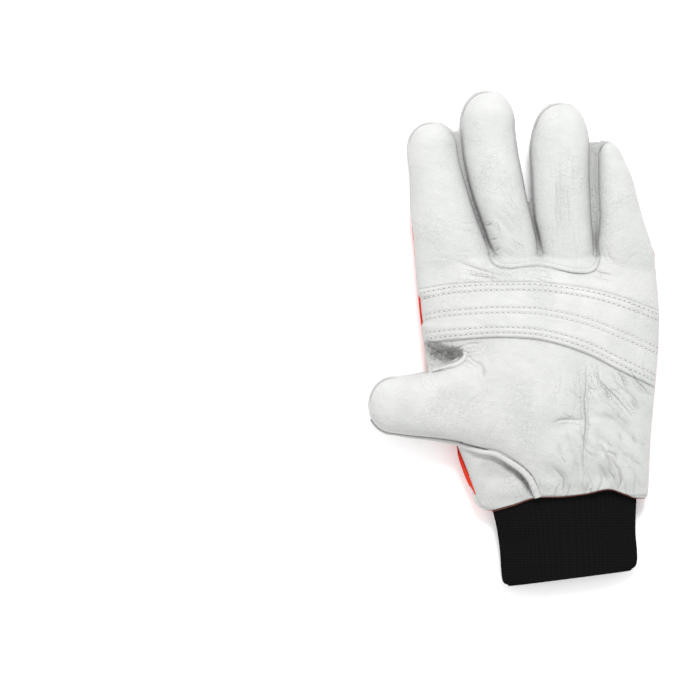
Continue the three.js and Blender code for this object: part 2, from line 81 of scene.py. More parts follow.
# The webs between the fingers, and the rows, in millimetres from them, where each groove gets
# painted shade.
GROOVES = {
    ("index", "middle"): (2.0, 56.0),
    ("middle", "ring"): (0.5, 33.0),
    ("ring", "little"): (0.0, 26.0),
}

# Millimetres: walls of the strap and the fabric, stitches, and the rounding of the padded rim.
STRAP_WALL = 1.2
FABRIC_WALL = 0.8
STITCH_PITCH = 2.9
STITCH_LENGTH = 2.0
RIM_REACH = 11.0

# Millimetres to the nearest crease where a piece has none.
NO_CREASE = 9.0

# Colour of the discs sunk in the needle holes: painted shade of the holes.
NEEDLE_HOLE_SHADE = (0.167, 0.163, 0.15)

# Section laws shared with the solids: roundness of the front and of the flattened back.
FRONT_ROUNDNESS = 2.4
BACK_ROUNDNESS = 4.0
BELLY = 1.5

# Palm and wrist. along: share of the palm's length from the finger webs. left, right: shares of
# its width. high: share of its depth. seam: share of the seam's height.
PALM_COLUMNS = ("along", "left", "right", "high", "seam")
PALM_SECTIONS = (
    (-1.035, -0.247, 0.432, 0.585, 0.8),
    (-0.985, -0.262, 0.45, 0.66, 0.84),
    (-0.928, -0.28, 0.453, 0.8, 0.9),
    (-0.787, -0.333, 0.458, 0.94, 1.0),
    (-0.63, -0.391, 0.47, 1.0, 1.0),
    (-0.481, -0.448, 0.482, 1.0, 1.0),
    (-0.353, -0.4685, 0.492, 0.97, 1.0),
    (-0.213, -0.489, 0.494, 0.92, 1.0),
    (-0.119, -0.496, 0.488, 0.85, 1.0),
    (0.0, -0.505, 0.477, 0.74, 1.0),
)

# Edges of the fingers in plan. along: share of the middle finger's length. Others: shares of the
# palm's width, left and right of each finger.
EDGE_COLUMNS = (
    "along", "index0", "index1", "middle0", "middle1", "ring0", "ring1", "little0", "little1",
)
FINGER_EDGES = (
    (-0.08, -0.492, -0.182, -0.176, 0.007, 0.014, 0.233, 0.239, 0.478),
    (0.0, -0.505, -0.187, -0.181, 0.005, 0.012, 0.232, 0.239, 0.477),
    (0.13, -0.514, -0.22, -0.21, -0.007, 0.001, 0.226, 0.234, 0.456),
    (0.25, -0.522, -0.252, -0.24, -0.026, -0.018, 0.219, 0.228, 0.428),
    (0.364, -0.525, -0.278, -0.268, -0.046, -0.026, 0.215, 0.223, 0.407),
    (0.493, -0.527, -0.304, -0.293, -0.063, -0.031, 0.211, 0.219, 0.383),
    (0.65, -0.538, -0.324, -0.313, -0.084, -0.037, 0.211, 0.219, 0.336),
    (0.816, -0.538, -0.33, -0.322, -0.096, -0.023, 0.2, 0.219, 0.3),
    (1.0, -0.538, -0.33, -0.322, -0.096, -0.023, 0.2, 0.219, 0.3),
)

# Fingers: name, then the length of the rounded tip and where the leather back begins, both as
# shares of the length.
FINGERS = (
    ("index", 0.175, 0.35),
    ("middle", 0.19, 0.34),
    ("ring", 0.2, 0.34),
    ("little", 0.12, 0.38),
)

# Height of a finger along it: share of its length, share of its depth.
FINGER_RISE = ((-0.1, 0.86), (0.0, 0.93), (0.3, 1.0), (1.0, 0.95))

# Thumb. along: share of its length from the root. centre: share of the palm's length. wide: share
# of its width. low, seam, high: shares of the palm's depth.
THUMB_ROOT = -0.092
THUMB_ROUND = 0.17
THUMB_COLUMNS = ("along", "centre", "wide", "low", "seam", "high")
THUMB_SECTIONS = (
    (-0.17, -0.837, 1.405, 0.36, 0.44, 0.74),
    (-0.108, -0.72, 1.67, 0.34, 0.5, 0.84),
    (0.0, -0.64, 1.82, 0.31, 0.56, 0.95),
    (0.19, -0.59, 1.8, 0.3, 0.59, 1.0),
    (0.37, -0.59, 1.56, 0.28, 0.6, 1.02),
    (0.53, -0.61, 1.24, 0.27, 0.6, 1.0),
    (0.72, -0.614, 1.1, 0.26, 0.58, 0.97),
    (0.84, -0.612, 1.03, 0.25, 0.55, 0.93),
)

# Broad dents and folds of the palm. Columns: x and y, shares of its width and length; long and wide,
# shares of its length and width; turn, in degrees; deep, share of its depth.
FOLDS = (
    (-0.175, -0.9, 0.13, 0.09, -40.0, 0.25),
    (-0.405, -0.41, 0.075, 0.055, -20.0, 0.24),
    (0.182, -0.63, 0.16, 0.03, 90.0, 0.06),
    (0.115, -0.69, 0.07, 0.03, 18.0, 0.045),
    (0.317, -0.54, 0.13, 0.03, -50.0, 0.05),
    (0.325, -0.725, 0.1, 0.042, -38.0, 0.07),
    (0.25, -0.915, 0.06, 0.045, -40.0, 0.09),
    (0.06, -0.915, 0.08, 0.032, -42.0, 0.07),
    (-0.25, -0.04, 0.09, 0.028, -20.0, 0.035),
)

# How far the front leather stays behind the outline on its left side, and how far the padded back
# stands out over it there. Both columns in millimetres, the first from the finger webs.
LEFT_INSET = (
    (-40.0, 0.0), (-36.0, 0.1), (-33.0, 1.3), (-21.0, 1.3), (-18.0, 0.1), (-12.0, 0.0),
    (4.0, 0.0), (8.0, 0.3), (14.0, 0.5), (19.0, 0.3), (23.0, 0.0),
)
LEFT_OUTSET = (
    (-129.0, 0.0), (-125.5, 0.3), (-121.0, 2.1), (-113.0, 2.5), (-106.0, 2.0), (-100.5, 0.5),
    (-96.0, 0.0),
)
# The same beside the side strips that show between two fingers.
INDEX_INSET = ((44.0, 0.0), (56.0, 0.5), (72.0, 0.9))
LITTLE_INSET = ((8.0, 0.0), (16.0, 1.4), (26.0, 2.6), (66.0, 3.0))

# Edge of the pocket in the thumb's crotch, in millimetres of the glove's plan, and its darkest spot.
POCKET = (
    (-66.0, -42.8), (-58.0, -43.3), (-54.4, -44.2), (-50.9, -45.6), (-46.0, -46.8), (-41.5, -47.4),
    (-39.4, -50.2), (-40.0, -52.4), (-43.4, -55.0), (-48.7, -56.4), (-54.4, -57.8), (-57.6, -59.4),
    (-66.0, -60.0),
)
POCKET_CORE = (-46.6, -51.2)
# Upper edge of the thumb's leather, where it curls round into that pocket.
CROTCH_ROLL = (
    (-57.5, -59.6), (-54.6, -58.7), (-51.0, -57.9), (-48.3, -57.2), (-45.4, -56.5), (-42.6, -55.0),
    (-40.4, -52.8), (-39.6, -50.8), (-40.3, -49.2),
)

# Turned edge round the roots of the middle and ring fingers, in millimetres of the glove's plan.
ROOT_LIP = (
    (-25.8, 3.2), (-25.0, 0.6), (-23.6, -1.2), (-20.4, -2.8), (-15.0, -3.2), (-8.0, -2.4),
    (-1.0, -1.7), (5.0, -2.6), (12.0, -4.2), (19.0, -5.6), (25.0, -5.9), (29.4, -4.2),
    (31.2, -0.8), (31.5, 2.5),
)

# Edges of the strap. across: share of the palm's width. upper, lower: shares of its length.
STRAP_COLUMNS = ("across", "upper", "lower")
STRAP_EDGES = (
    (-0.56, -0.142, -0.374),
    (-0.49, -0.124, -0.356),
    (-0.34, -0.099, -0.339),
    (-0.157, -0.0915, -0.3275),
    (-0.03, -0.0915, -0.334),
    (0.06, -0.099, -0.352),
    (0.2, -0.119, -0.401),
    (0.317, -0.149, -0.463),
    (0.5, -0.221, -0.553),
    (0.57, -0.255, -0.596),
)

# Rows of stitches on the strap, as shares of the way from its upper to its lower edge at the left
# end, the middle and the right end, in this order.
STITCH_ROWS = (
    (0.085, 0.048, 0.047),
    (0.18, 0.146, 0.12),
    (0.48, 0.46, 0.48),
    (0.565, 0.557, 0.555),
    (0.81, 0.82, 0.845),
    (0.925, 0.915, 0.928),
)

# Seam at the roots of the middle and ring fingers. across: share of the palm's width. along:
# share of its length.
ROOT_SEAM = (
    (-0.184, 0.0),
    (-0.137, -0.017),
    (-0.018, -0.01),
    (0.076, -0.028),
    (0.17, -0.042),
    (0.21, -0.03),
    (0.2355, -0.004),
)

# Gathered hem. across: share of the cuff's width from its centre. drop: share of its length.
HEM = (
    (-0.9, 0.19),
    (-0.53, 0.185),
    (-0.38, 0.12),
    (-0.18, 0.012),
    (-0.03, 0.005),
    (0.14, -0.03),
    (0.3, -0.085),
    (0.4, -0.03),
    (0.5, 0.025),
    (0.9, 0.03),
)


def length(name, about, default):
    """A length in metres, for the sidebar."""
    return FloatProperty(name=name, description=about, default=default, unit="LENGTH")


def tint(name, about, default):
    """A colour, for the sidebar."""
    kind = {"subtype": "COLOR", "size": 3}
    return FloatVectorProperty(name=name, description=about, default=default, **kind)


class GloveSizes(bpy.types.PropertyGroup):
    """Main sizes of the glove, as its solids have them"""

    palm_width: length("Palm width", "Width of the palm", 0.132)
    palm_length: length("Palm length", "Finger webs to the leather's hem", 0.127)
    palm_depth: length("Palm depth", "Floor to the top of the palm", 0.032)
    seam_height: length("Seam height", "Floor to the side seam", 0.012)
    finger_depth: length("Finger depth", "Floor to the top of a finger", 0.024)
    index: length("Index finger", "Web to tip", 0.075)
    middle: length("Middle finger", "Web to tip", 0.092)
    ring: length("Ring finger", "Web to tip", 0.0855)
    little: length("Little finger", "Web to tip", 0.065)
    thumb_length: length("Thumb length", "Root to tip", 0.08)
    thumb_width: length("Thumb width", "Across the thumb", 0.03)
    cuff_width: length("Cuff width", "Cuff laid flat", 0.078)
    cuff_depth: length("Cuff depth", "Thickness of the cuff", 0.015)
    cuff_length: length("Cuff length", "Cuff below the hem", 0.044)
    leather_wall: length("Leather", "Thickness of the leather", 0.0013)
    knit_ribs: IntProperty(name="Knit ribs", description="Ribs round the cuff", default=84, min=8)


class GloveColours(bpy.types.PropertyGroup):
    """Colours of the leather, fabric, knit and thread"""

    leather: tint("Leather", "Grain leather", (0.418, 0.423, 0.415))
    fabric: tint("Fabric", "Padded back", (0.66, 0.03, 0.005))
    knit: tint("Knit", "Cuff yarn", (0.0026, 0.0029, 0.0026))
    thread: tint("Thread", "Sewing thread", (0.54, 0.54, 0.51))
    seam_thread: tint("Seam thread", "Thread at the cuff", (0.2, 0.05, 0.03))
    floor: tint("Floor", "Table top", (0.95, 0.95, 0.95))


class StudioSettings(bpy.types.PropertyGroup):
    """Camera and lights"""

    frame_width: length("Frame width", "Width that the picture covers", 0.378)
    camera_height: length("Camera height", "Height over the table", 3.0)
    exact_height: length("Exact height", "Height over the table at which that width holds", 0.013)
    centre_x: length("Centre X", "Middle of the picture", -0.088)
    centre_y: length("Centre Y", "Middle of the picture", -0.0065)
    brightness: FloatProperty(name="Brightness", description="Light over all", default=1.2, min=0.0)


def sizes():
    """The glove's sizes in millimetres, by name."""
    held = bpy.context.scene.glove_sizes
    found = {name: getattr(held, name) / MM for name in held.__annotations__ if name != "knit_ribs"}
    found["ribs"] = held.knit_ribs
    return found


# Curves and forms


class Curve:
    """Cubic pieces through points, with the harmonic mean of the neighbouring slopes at each point,
    so that the curve never overshoots them. Beyond its ends it stays level."""

    def __init__(self, at, held):
        order = np.argsort(at)
        self.at = np.asarray(at, float)[order]
        self.held = np.asarray(held, float)[order]
        slope = np.diff(self.held) / np.diff(self.at)
        before = np.concatenate([slope[:1], slope])
        after = np.concatenate([slope, slope[-1:]])
        total = np.where(before * after > 0, before + after, 1.0)
        self.tangent = np.where(before * after > 0, 2 * before * after / total, 0.0)

    def __call__(self, x):
        x = np.clip(x, self.at[0], self.at[-1])
        k = np.clip(np.searchsorted(self.at, x, side="right") - 1, 0, len(self.at) - 2)
        width = self.at[k + 1] - self.at[k]
        s = (x - self.at[k]) / width
        rise = s * s * (3 - 2 * s)
        lean = width * s * (1 - s) * ((1 - s) * self.tangent[k] - s * self.tangent[k + 1])
        return self.held[k] * (1 - rise) + self.held[k + 1] * rise + lean


def column(rows, names, name, along=1.0, size=1.0):
    """A curve through one named column of a table, against its first column."""
    k = names.index(name)
    return Curve([r[0] * along for r in rows], [r[k] * size for r in rows])


def ease(t):
    """3t^2 - 2t^3 between 0 and 1."""
    t = np.clip(t, 0.0, 1.0)
    return t * t * (3 - 2 * t)


def smooth_max(a, b, reach):
    """The larger of two heights, with a round fillet where they are closer than reach."""
    near = np.maximum(reach - np.abs(a - b), 0.0)
    return np.maximum(a, b) + near * near / (4 * reach)


def bump(distance, width):
    """exp(-(distance / width)^2)."""
    return np.exp(-((distance / width) ** 2))


def bell(count):
    """Positions from -1 to 1, closer together at the ends: a blend of even steps and a sine."""
    t = np.linspace(-1, 1, count)
    return 0.65 * np.sin(t * np.pi / 2) + 0.35 * t


def through(line, t):
    """Plan points on a smooth curve through a line of points, at shares t of its points."""
    line = np.asarray(line, float)
    knots = np.linspace(0, 1, len(line))
    return Curve(knots, line[:, 0])(t), Curve(knots, line[:, 1])(t)


def smoothed(values):
    """Mean of each value and the six on either side of it."""
    return np.convolve(np.pad(values, 6, mode="edge"), np.ones(13) / 13, mode="valid")


def unit(vectors):
    return vectors / np.linalg.norm(vectors, axis=1, keepdims=True)


def inside_distance(outline, x, y):
    """Distance from a point to a closed outline, 0 outside it. A ray's crossings tell inside from
    outside, for all points and all edges at once."""
    a, b = outline, np.roll(outline, -1, axis=0)
    px, py = x[..., None], y[..., None]
    run = b - a
    along = (px - a[:, 0]) * run[:, 0] + (py - a[:, 1]) * run[:, 1]
    t = np.clip(along / (run**2).sum(axis=1), 0, 1)
    gap = np.hypot(px - a[:, 0] - t * run[:, 0], py - a[:, 1] - t * run[:, 1]).min(axis=-1)
    spans = (a[:, 1] > py) != (b[:, 1] > py)
    rise = np.where(np.abs(run[:, 1]) < 1e-9, 1e-9, run[:, 1])
    crossed = spans & (px < a[:, 0] + (py - a[:, 1]) / rise * run[:, 0])
    return np.where(crossed.sum(axis=-1) % 2 == 1, gap, 0.0)


class Form:
    """A flattened tube in plan: left and right edge, seam height and height above it, all curves of
    the position along it. Its tip rounds off like a quarter of an ellipse."""

    def __init__(
        self, left, right, seam, high, low, end, rounding, root=None, square=False, start=-math.inf
    ):
        self.left, self.right, self.square, self.start = left, right, square, start
        self.seam, self.high, self.low = seam, high, low
        self.end, self.rounding, self.root = end, rounding, root
        self.straight = end - rounding

    def tip(self, count):
        """Positions along the rounded tip, closer together towards its end."""
        return self.straight + self.rounding * np.sin(np.linspace(0, np.pi / 2, count))

    def split(self, x, y):
        """Position along and across: a thumb runs along -X from its root, the rest along +Y."""
        return (y, x) if self.root is None else (self.root - x, y)

    def place(self, along, across):
        return (across, along) if self.root is None else (self.root - along, across)

    def share(self, along):
        """What is left of the full section: cosine of the angle round the tip."""
        t = np.clip((along - self.straight) / self.rounding, 0.0, 1.0)
        return np.sqrt(np.maximum(1 - t * t, 0.0))

    def across(self, along, u):
        """Plan position across the form for u from -1, its left edge, to 1, its right edge."""
        left, right = self.left(along), self.right(along)
        return (left + right) / 2 + (right - left) / 2 * self.share(along) * u

    def lean(self, x, y):
        """Share of the half width at a plan position, and how far outside the outline it is."""
        along, across = self.split(x, y)
        left, right = self.left(along), self.right(along)
        half = (right - left) / 2 * (1.0 if self.square else np.maximum(self.share(along), 1e-6))
        u = (across - (left + right) / 2) / half
        outside = np.maximum(np.abs(u) - 1, 0.0) * half + np.maximum(along - self.end, 0.0)
        return along, u, outside

    def top(self, x, y, press=0.0):
        """Front surface: seam + (1 - |u|^2.4)^(1/2.4) * rise * share^0.8, falling away outside."""
        along, u, outside = self.lean(x, y)
        w = np.maximum(1 - np.abs(u) ** FRONT_ROUNDNESS, 0.0) ** (1 / FRONT_ROUNDNESS)
        seam = self.seam(along)
        rise = (self.high(along) - seam) * self.share(along) ** 0.8
        return seam + w * (rise - press) - 2.0 * outside

    def under(self, x, y):
        """Back surface: seam - (1 - u^4)^(1/4) * depth * share^0.8, level on the floor."""
        along, u, outside = self.lean(x, y)
        w = np.maximum(1 - np.abs(u) ** BACK_ROUNDNESS, 0.0) ** (1 / BACK_ROUNDNESS)
        seam = self.seam(along)
        sink = (seam - self.low(along) + BELLY) * self.share(along) ** 0.8
        return np.maximum(seam - w * sink, self.low(along)) + 2.0 * outside


class Hand:
    """The palm, fingers and thumb as forms, and the surfaces that they make together."""

    def __init__(self):
        s = self.s = sizes()
        wide, long, deep = s["palm_width"], s["palm_length"], s["palm_depth"]
        self.cuff_x = CUFF_CENTRE * wide
        rim = (
            (self.cuff_x - s["cuff_width"] / 2 - HEM_REACH) / wide,
            (self.cuff_x + s["cuff_width"] / 2 + HEM_REACH) / wide,
            (s["cuff_depth"] + 2 * HEM_REACH) / deep,
            (s["cuff_depth"] / 2 + HEM_REACH) / s["seam_height"],
        )
        rows = ((-1.14, *rim), (-1.075, *rim), *PALM_SECTIONS)
        palm = lambda name, size: column(rows, PALM_COLUMNS, name, long, size)
        flat = lambda value: lambda along: np.full(np.shape(along), float(value))
        left, inset, outset = palm("left", wide), Curve(*zip(*LEFT_INSET)), Curve(*zip(*LEFT_OUTSET))
        index_inset, little_inset = Curve(*zip(*INDEX_INSET)), Curve(*zip(*LITTLE_INSET))
        shape = {
            "right": palm("right", wide), "seam": palm("seam", s["seam_height"]),
            "high": palm("high", deep), "low": flat(0), "end": 3.0, "rounding": 9.0, "square": True,
        }
        self.palm_back = Form(lambda y: left(y) - outset(y), **shape)
        self.palm = Form(lambda y: left(y) + inset(y), **shape)
        self.fingers, self.finger_backs = {}, {}
        for name, rounding, back in FINGERS:
            end = s[name]
            first, second = (
                column(FINGER_EDGES, EDGE_COLUMNS, name + side, s["middle"], wide) for side in "01"
            )
            rise = [(a * end, h * s["finger_depth"]) for a, h in FINGER_RISE]
            shape = {
                "seam": flat(s["seam_height"]), "high": Curve(*zip(*rise)), "low": flat(0),
                "end": end, "rounding": rounding * end, "start": 0.0,
            }
            self.finger_backs[name] = Form(first, second, **shape)
            self.finger_backs[name].back = back * end
            left_side, right_side = first, second
            if name == "index":
                left_side = lambda y, edge=first: edge(y) + inset(y)
                right_side = lambda y, edge=second: edge(y) - index_inset(y)
            if name == "little":
                left_side = lambda y, edge=first: edge(y) + little_inset(y)
            self.fingers[name] = Form(left_side, right_side, **shape)
        end = s["thumb_length"]
        thumb = lambda name, size: column(THUMB_SECTIONS, THUMB_COLUMNS, name, end, size)
        centre, half = thumb("centre", long), thumb("wide", s["thumb_width"] / 2)
        self.thumb = Form(
            lambda a: centre(a) - half(a), lambda a: centre(a) + half(a),
            thumb("seam", deep), thumb("high", deep), thumb("low", deep), end, THUMB_ROUND * end,
            root=THUMB_ROOT * wide, start=0.0,
        )
        self.corner_y = float(self.thumb.left(0.37 * end))
        self.shift_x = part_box("palm_leather")[0].x / MM - (self.thumb.root - end)
        self.shift_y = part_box("middle_ring_front")[1].y / MM - s["middle"]

    def press(self, x, y):
        """Sum of bell-shaped dents, fading out over the cuff."""
        s = self.s
        fade = ease((y + s["palm_length"]) / 10.5)
        total = np.zeros(np.shape(x))
        for fx, fy, long, wide, turn, deep in FOLDS:
            dx, dy = x - fx * s["palm_width"], y - fy * s["palm_length"]
            c, n = math.cos(math.radians(turn)), math.sin(math.radians(turn))
            a = (dx * c + dy * n) / (long * s["palm_length"])
            b = (dy * c - dx * n) / (wide * s["palm_width"])
            total = total + deep * s["palm_depth"] * np.exp(-a * a - b * b)
        return fade * total

    def palm_top(self, x, y):
        return self.palm.top(x, y, self.press(x, y))

    def front(self, x, y):
        """The whole front: palm, fingers and thumb joined with round fillets."""
        z = self.palm_top(x, y)
        for finger in self.fingers.values():
            top = finger.top(x, y) - 4 * ease(-y / FINGER_RUN)
            z = smooth_max(z, np.where(y > -FINGER_RUN, top, 0.0), FINGER_FILLET)
        along = self.thumb.split(x, y)[0]
        thumb = self.thumb.top(x, y) - 6 * ease(-along / 14) - 20 * ease((-along - 12) / 24)
        z = smooth_max(z, thumb, THUMB_FILLET)
        inside = inside_distance(np.asarray(POCKET), x, y)
        core = np.exp(-(((x - POCKET_CORE[0]) / 7.0) ** 2) - ((y - POCKET_CORE[1]) / 6.0) ** 2)
        folds = 0.8 * np.sin(0.9 * x + 1.7 * y) + 0.5 * np.sin(2.1 * x - 0.8 * y)
        sink = ease(inside / 2.6) * (6.0 + 5.0 * core + folds)
        return z - np.minimum(sink, np.maximum(z - POCKET_FLOOR, 0.0))

    def hem(self, x):
        s = self.s
        across = [self.cuff_x + row[0] * s["cuff_width"] for row in HEM]
        return Curve(across, [-s["palm_length"] - row[1] * s["cuff_length"] for row in HEM])(x)

    def root_seam(self, x):
        rows = [(a * self.s["palm_width"], d * self.s["palm_length"]) for a, d in ROOT_SEAM]
        return Curve(*zip(*rows))(x)

    def welt_x(self, y):
        """Where the thumb's lower edge, with its rolled seam, crosses a row across the palm."""
        along = np.array([row[0] for row in THUMB_SECTIONS[:5]]) * self.s["thumb_length"]
        return Curve(self.thumb.left(along), self.thumb.root - along)(y)


# Meshes


def sheet_faces(rows, cols, first=0, wrap=False):
    """Quads between neighbouring points of a grid, as rows of four indices."""
    index = np.arange(rows * cols).reshape(rows, cols) + first
    if wrap:
        index = np.concatenate([index, index[:, :1]], axis=1)
    return np.stack(
        [index[:-1, :-1], index[:-1, 1:], index[1:, 1:], index[1:, :-1]], axis=-1
    ).reshape(-1, 4)


def piece(name, blocks, material, upward=None, wrap=False, attributes=None):
    """One mesh from grids of points (rows, columns, 3) in millimetres, in the CAD frame. Points of
    neighbouring grids that coincide are merged. upward turns open sheets to face up or down."""
    points, faces, count = [], [], 0
    for block in blocks:
        rows, cols = block.shape[:2]
        points.append(block.reshape(-1, 3))
        faces.append(sheet_faces(rows, cols, count, wrap))
        count += rows * cols
    co = np.concatenate(points) * MM
    quads = np.concatenate(faces)
    if upward is not None:
        a, b, d = co[quads[:, 0]], co[quads[:, 1]], co[quads[:, 3]]
        if (np.cross(b - a, d - a)[:, 2].sum() > 0) != upward:
            quads = quads[:, ::-1]
    mesh = bpy.data.meshes.new(name)
    mesh.from_pydata(co.tolist(), [], quads.tolist())
    for key, values in (attributes or {}).items():
        held = mesh.attributes.new(key, "FLOAT", "POINT").data
        held.foreach_set("value", values.astype(np.float32))
    made = bmesh.new()
    made.from_mesh(mesh)
    bmesh.ops.remove_doubles(made, verts=made.verts, dist=MERGE)
    if upward is None:
        bmesh.ops.recalc_face_normals(made, faces=made.faces)
    made.to_mesh(mesh)
    made.free()
    mesh.shade_smooth()
    obj = bpy.data.objects.new(name, mesh)
    bpy.context.scene.collection.objects.link(obj)
    mesh.materials.append(material)
    return obj


def placed(hand, x, y, z):
    """Points of the glove's own frame, whose origin is the middle web, in the CAD frame."""
    return np.stack([x + hand.shift_x, y + hand.shift_y, z], axis=-1)


def wall(obj, thickness):
    """Gives a sheet its thickness, inwards."""
    made = obj.modifiers.new("wall", "SOLIDIFY")
    made.thickness = thickness * MM
    made.offset = -1.0
    made.use_even_offset = False
    return obj


def finish(obj, slot, *nodes):
    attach(obj, "root")
    if nodes:
        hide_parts(*nodes)
    return obj


def along_path(path, profile):
    """A closed profile carried along a path. At each point the profile's first axis is across the
    path and level, its second is square to both."""
    run = unit(np.gradient(path, axis=0))
    side, rise = level_axes(run)
    profile = np.broadcast_to(profile, (len(path), *np.shape(profile)[-2:]))
    return path[:, None] + side[:, None] * profile[..., :1] + rise[:, None] * profile[..., 1:]


def level_axes(run):
    """Two unit vectors for each direction: one level and square to it, one square to both."""
    side = unit(np.cross(run, (0.0, 0.0, 1.0)))
    return side, np.cross(side, run)


def oval(a, power):
    """Cosine and sine of the angles, each raised to 2/power with its sign kept."""
    return [np.sign(wave) * np.abs(wave) ** (2 / power) for wave in (np.cos(a), np.sin(a))]


def round_profile(width, height, count, power=2.0):
    """A closed oval."""
    c, n = oval(np.linspace(0, 2 * np.pi, count, endpoint=False), power)
    return np.stack([width / 2 * c, height / 2 * n], axis=-1)


def capped(block):
    """Closes both ends of a carried profile with a ring drawn to its middle."""
    first = np.broadcast_to(block[0].mean(axis=0), block[0].shape)
    last = np.broadcast_to(block[-1].mean(axis=0), block[-1].shape)
    return np.concatenate([first[None], block, last[None]])


def cord(name, path, profile, look):
    """A piece made of one profile carried along a path."""
    return piece(name, [capped(along_path(path, profile))], look, wrap=True)


def run_length(line):
    """Length along a line of points, up to each of them."""
    return np.concatenate([[0], np.cumsum(np.linalg.norm(np.diff(line, axis=0), axis=1))])


# Details of the leather's surface

# Creases in the glove's own plan, in millimetres from the middle web: depth, width, line of points.
CREASES = (
    (0.95, 1.0, (
        (24.6, -53), (24.9, -66), (24, -77), (24.7, -86), (24, -96), (23.4, -107), (24.6, -122),
    )),
    (0.8, 0.9, ((7.1, -87.5), (11.6, -85.6), (16.2, -85.6), (24.6, -85.9))),
    (0.9, 2.2, ((25.1, -83.7), (37.5, -85.3), (46.7, -92.9), (54.3, -104.8))),
    (0.9, 0.9, ((28.4, -61), (34.3, -67), (40.5, -72.9), (51, -85.3))),
    (0.6, 0.7, ((31.4, -65.3), (35.9, -71.3), (38, -76))),
    (0.7, 0.9, ((41.9, -59.4), (44.6, -64), (46.2, -70.2))),
    (0.8, 0.9, ((51, -64), (55, -67.5), (60.2, -72.9))),
    (0.6, 1.8, ((4, -63.7), (3.3, -82), (4, -100.4))),
    (1.1, 1.3, ((7.1, -111), (13.2, -118.6), (13.2, -126))),
    (1.5, 1.7, ((29.5, -109), (34.0, -114), (35.4, -118), (33.2, -124))),
    (0.9, 1.1, ((35.4, -102.6), (39.7, -104.2), (44, -108.5))),
    (0.8, 1.0, ((42, -112), (44, -118), (42, -125))),
    (0.7, 0.9, ((19, -108), (20.5, -115), (19.5, -124))),
    (0.5, 0.8, ((-30.8, -55), (-30, -60), (-29.4, -63.7))),
    (0.6, 1.0, ((-45, 0), (-37, -3.2), (-28.9, -5.9), (-20.8, -8.6))),
    (0.5, 0.8, ((-40, -7), (-30, -9), (-21, -10.5))),
    (0.5, 0.8, ((29.4, -5.4), (34.8, -7), (39.7, -8.1))),
    (0.6, 1.8, ((-25.1, 26.5), (-18, 18), (-12.9, 10.6))),
    (0.5, 1.4, ((-21.5, 28.6), (-15, 22), (-10, 13))),
    (0.9, 0.8, ((-30.2, 18.5), (-28, 18.8), (-25.4, 19.6))),
    (0.9, 0.7, ((-25.6, 5.6), (-23.4, 5.2), (-21.4, 6.2))),
    (0.7, 0.7, ((-27, 11), (-25, 11), (-22.6, 12))),
    (0.24, 0.6, ((8.6, 52), (9.2, 30), (10.2, 4))),
    (0.26, 0.6, ((10.6, 56), (11.4, 34), (12.6, 6))),
    (0.22, 0.6, ((12.8, 50), (13.4, 30), (14.6, 8))),
    (0.2, 0.6, ((15.2, 44), (16, 30), (17, 12))),
    (0.25, 0.6, ((36, 8), (38, 2), (44, -4))),
    (1.7, 0.7, (
        (-61, -43.6), (-57, -44.4), (-54, -44.7), (-50.5, -47.2), (-45, -47.6), (-40.5, -45.6),
    )),
    (1.5, 0.7, ((-58.5, -50.4), (-54, -49.6), (-51, -48.8))),
    (1.3, 0.6, ((-50.5, -47.2), (-48.5, -49.5), (-46.5, -51.5))),
    (0.5, 0.8, ((-40, -46), (-36, -44.6), (-31, -44.8))),
    (0.4, 0.45, ((-64, -24.8), (-63.1, -22.1), (-61.3, -20.6), (-58.6, -19.8))),
    (0.4, 0.8, ((-39.5, -49.5), (-36, -53.5), (-31.5, -56.5), (-28, -62))),
    (1.3, 3.0, ((11.6, -90.7), (15.5, -101), (19.7, -113), (20, -124))),
    (1.6, 3.0, ((38.6, -96), (44.5, -105), (49.4, -118))),
    (0.8, 4.5, ((-10, -72), (-8.5, -92), (-4.6, -112))),
    (1.4, 3.0, ((30, -90), (33, -99), (30, -110))),
)

# Patches that are full of short wrinkles: middle, half width and half length in millimetres, main
# direction in degrees, how many, how deep and how much wider than the finest.
WRINKLE_PATCHES = (
    (40.0, -80.0, 17.0, 24.0, -56.0, 20, 0.5, 1.4),
    (32.0, -106.0, 22.0, 14.0, -70.0, 22, 0.7, 1.7),
    (8.0, -88.0, 14.0, 22.0, -85.0, 10, 0.32, 1.6),
    (36.0, -92.0, 20.0, 22.0, -40.0, 16, 0.3, 0.9),
    (-22.0, -78.0, 22.0, 22.0, 62.0, 8, 0.14, 1.2),
    (-45.0, 20.0, 12.0, 28.0, 12.0, 7, 0.12, 1.0),
    (-15.0, 16.0, 8.0, 14.0, -52.0, 8, 0.22, 1.0),
    (13.0, 28.0, 8.0, 28.0, 86.0, 18, 0.16, 1.0),
    (42.0, 14.0, 10.0, 18.0, 35.0, 6, 0.14, 1.0),
    (-68.0, -78.0, 14.0, 10.0, 5.0, 4, 0.1, 1.0),
    (-20.0, -8.0, 40.0, 3.0, -10.0, 6, 0.2, 1.0),
    (-48.0, -50.0, 8.0, 4.0, -25.0, 9, 0.5, 1.0),
    (6.0, -122.0, 46.0, 3.5, 88.0, 22, 0.4, 1.1),
)


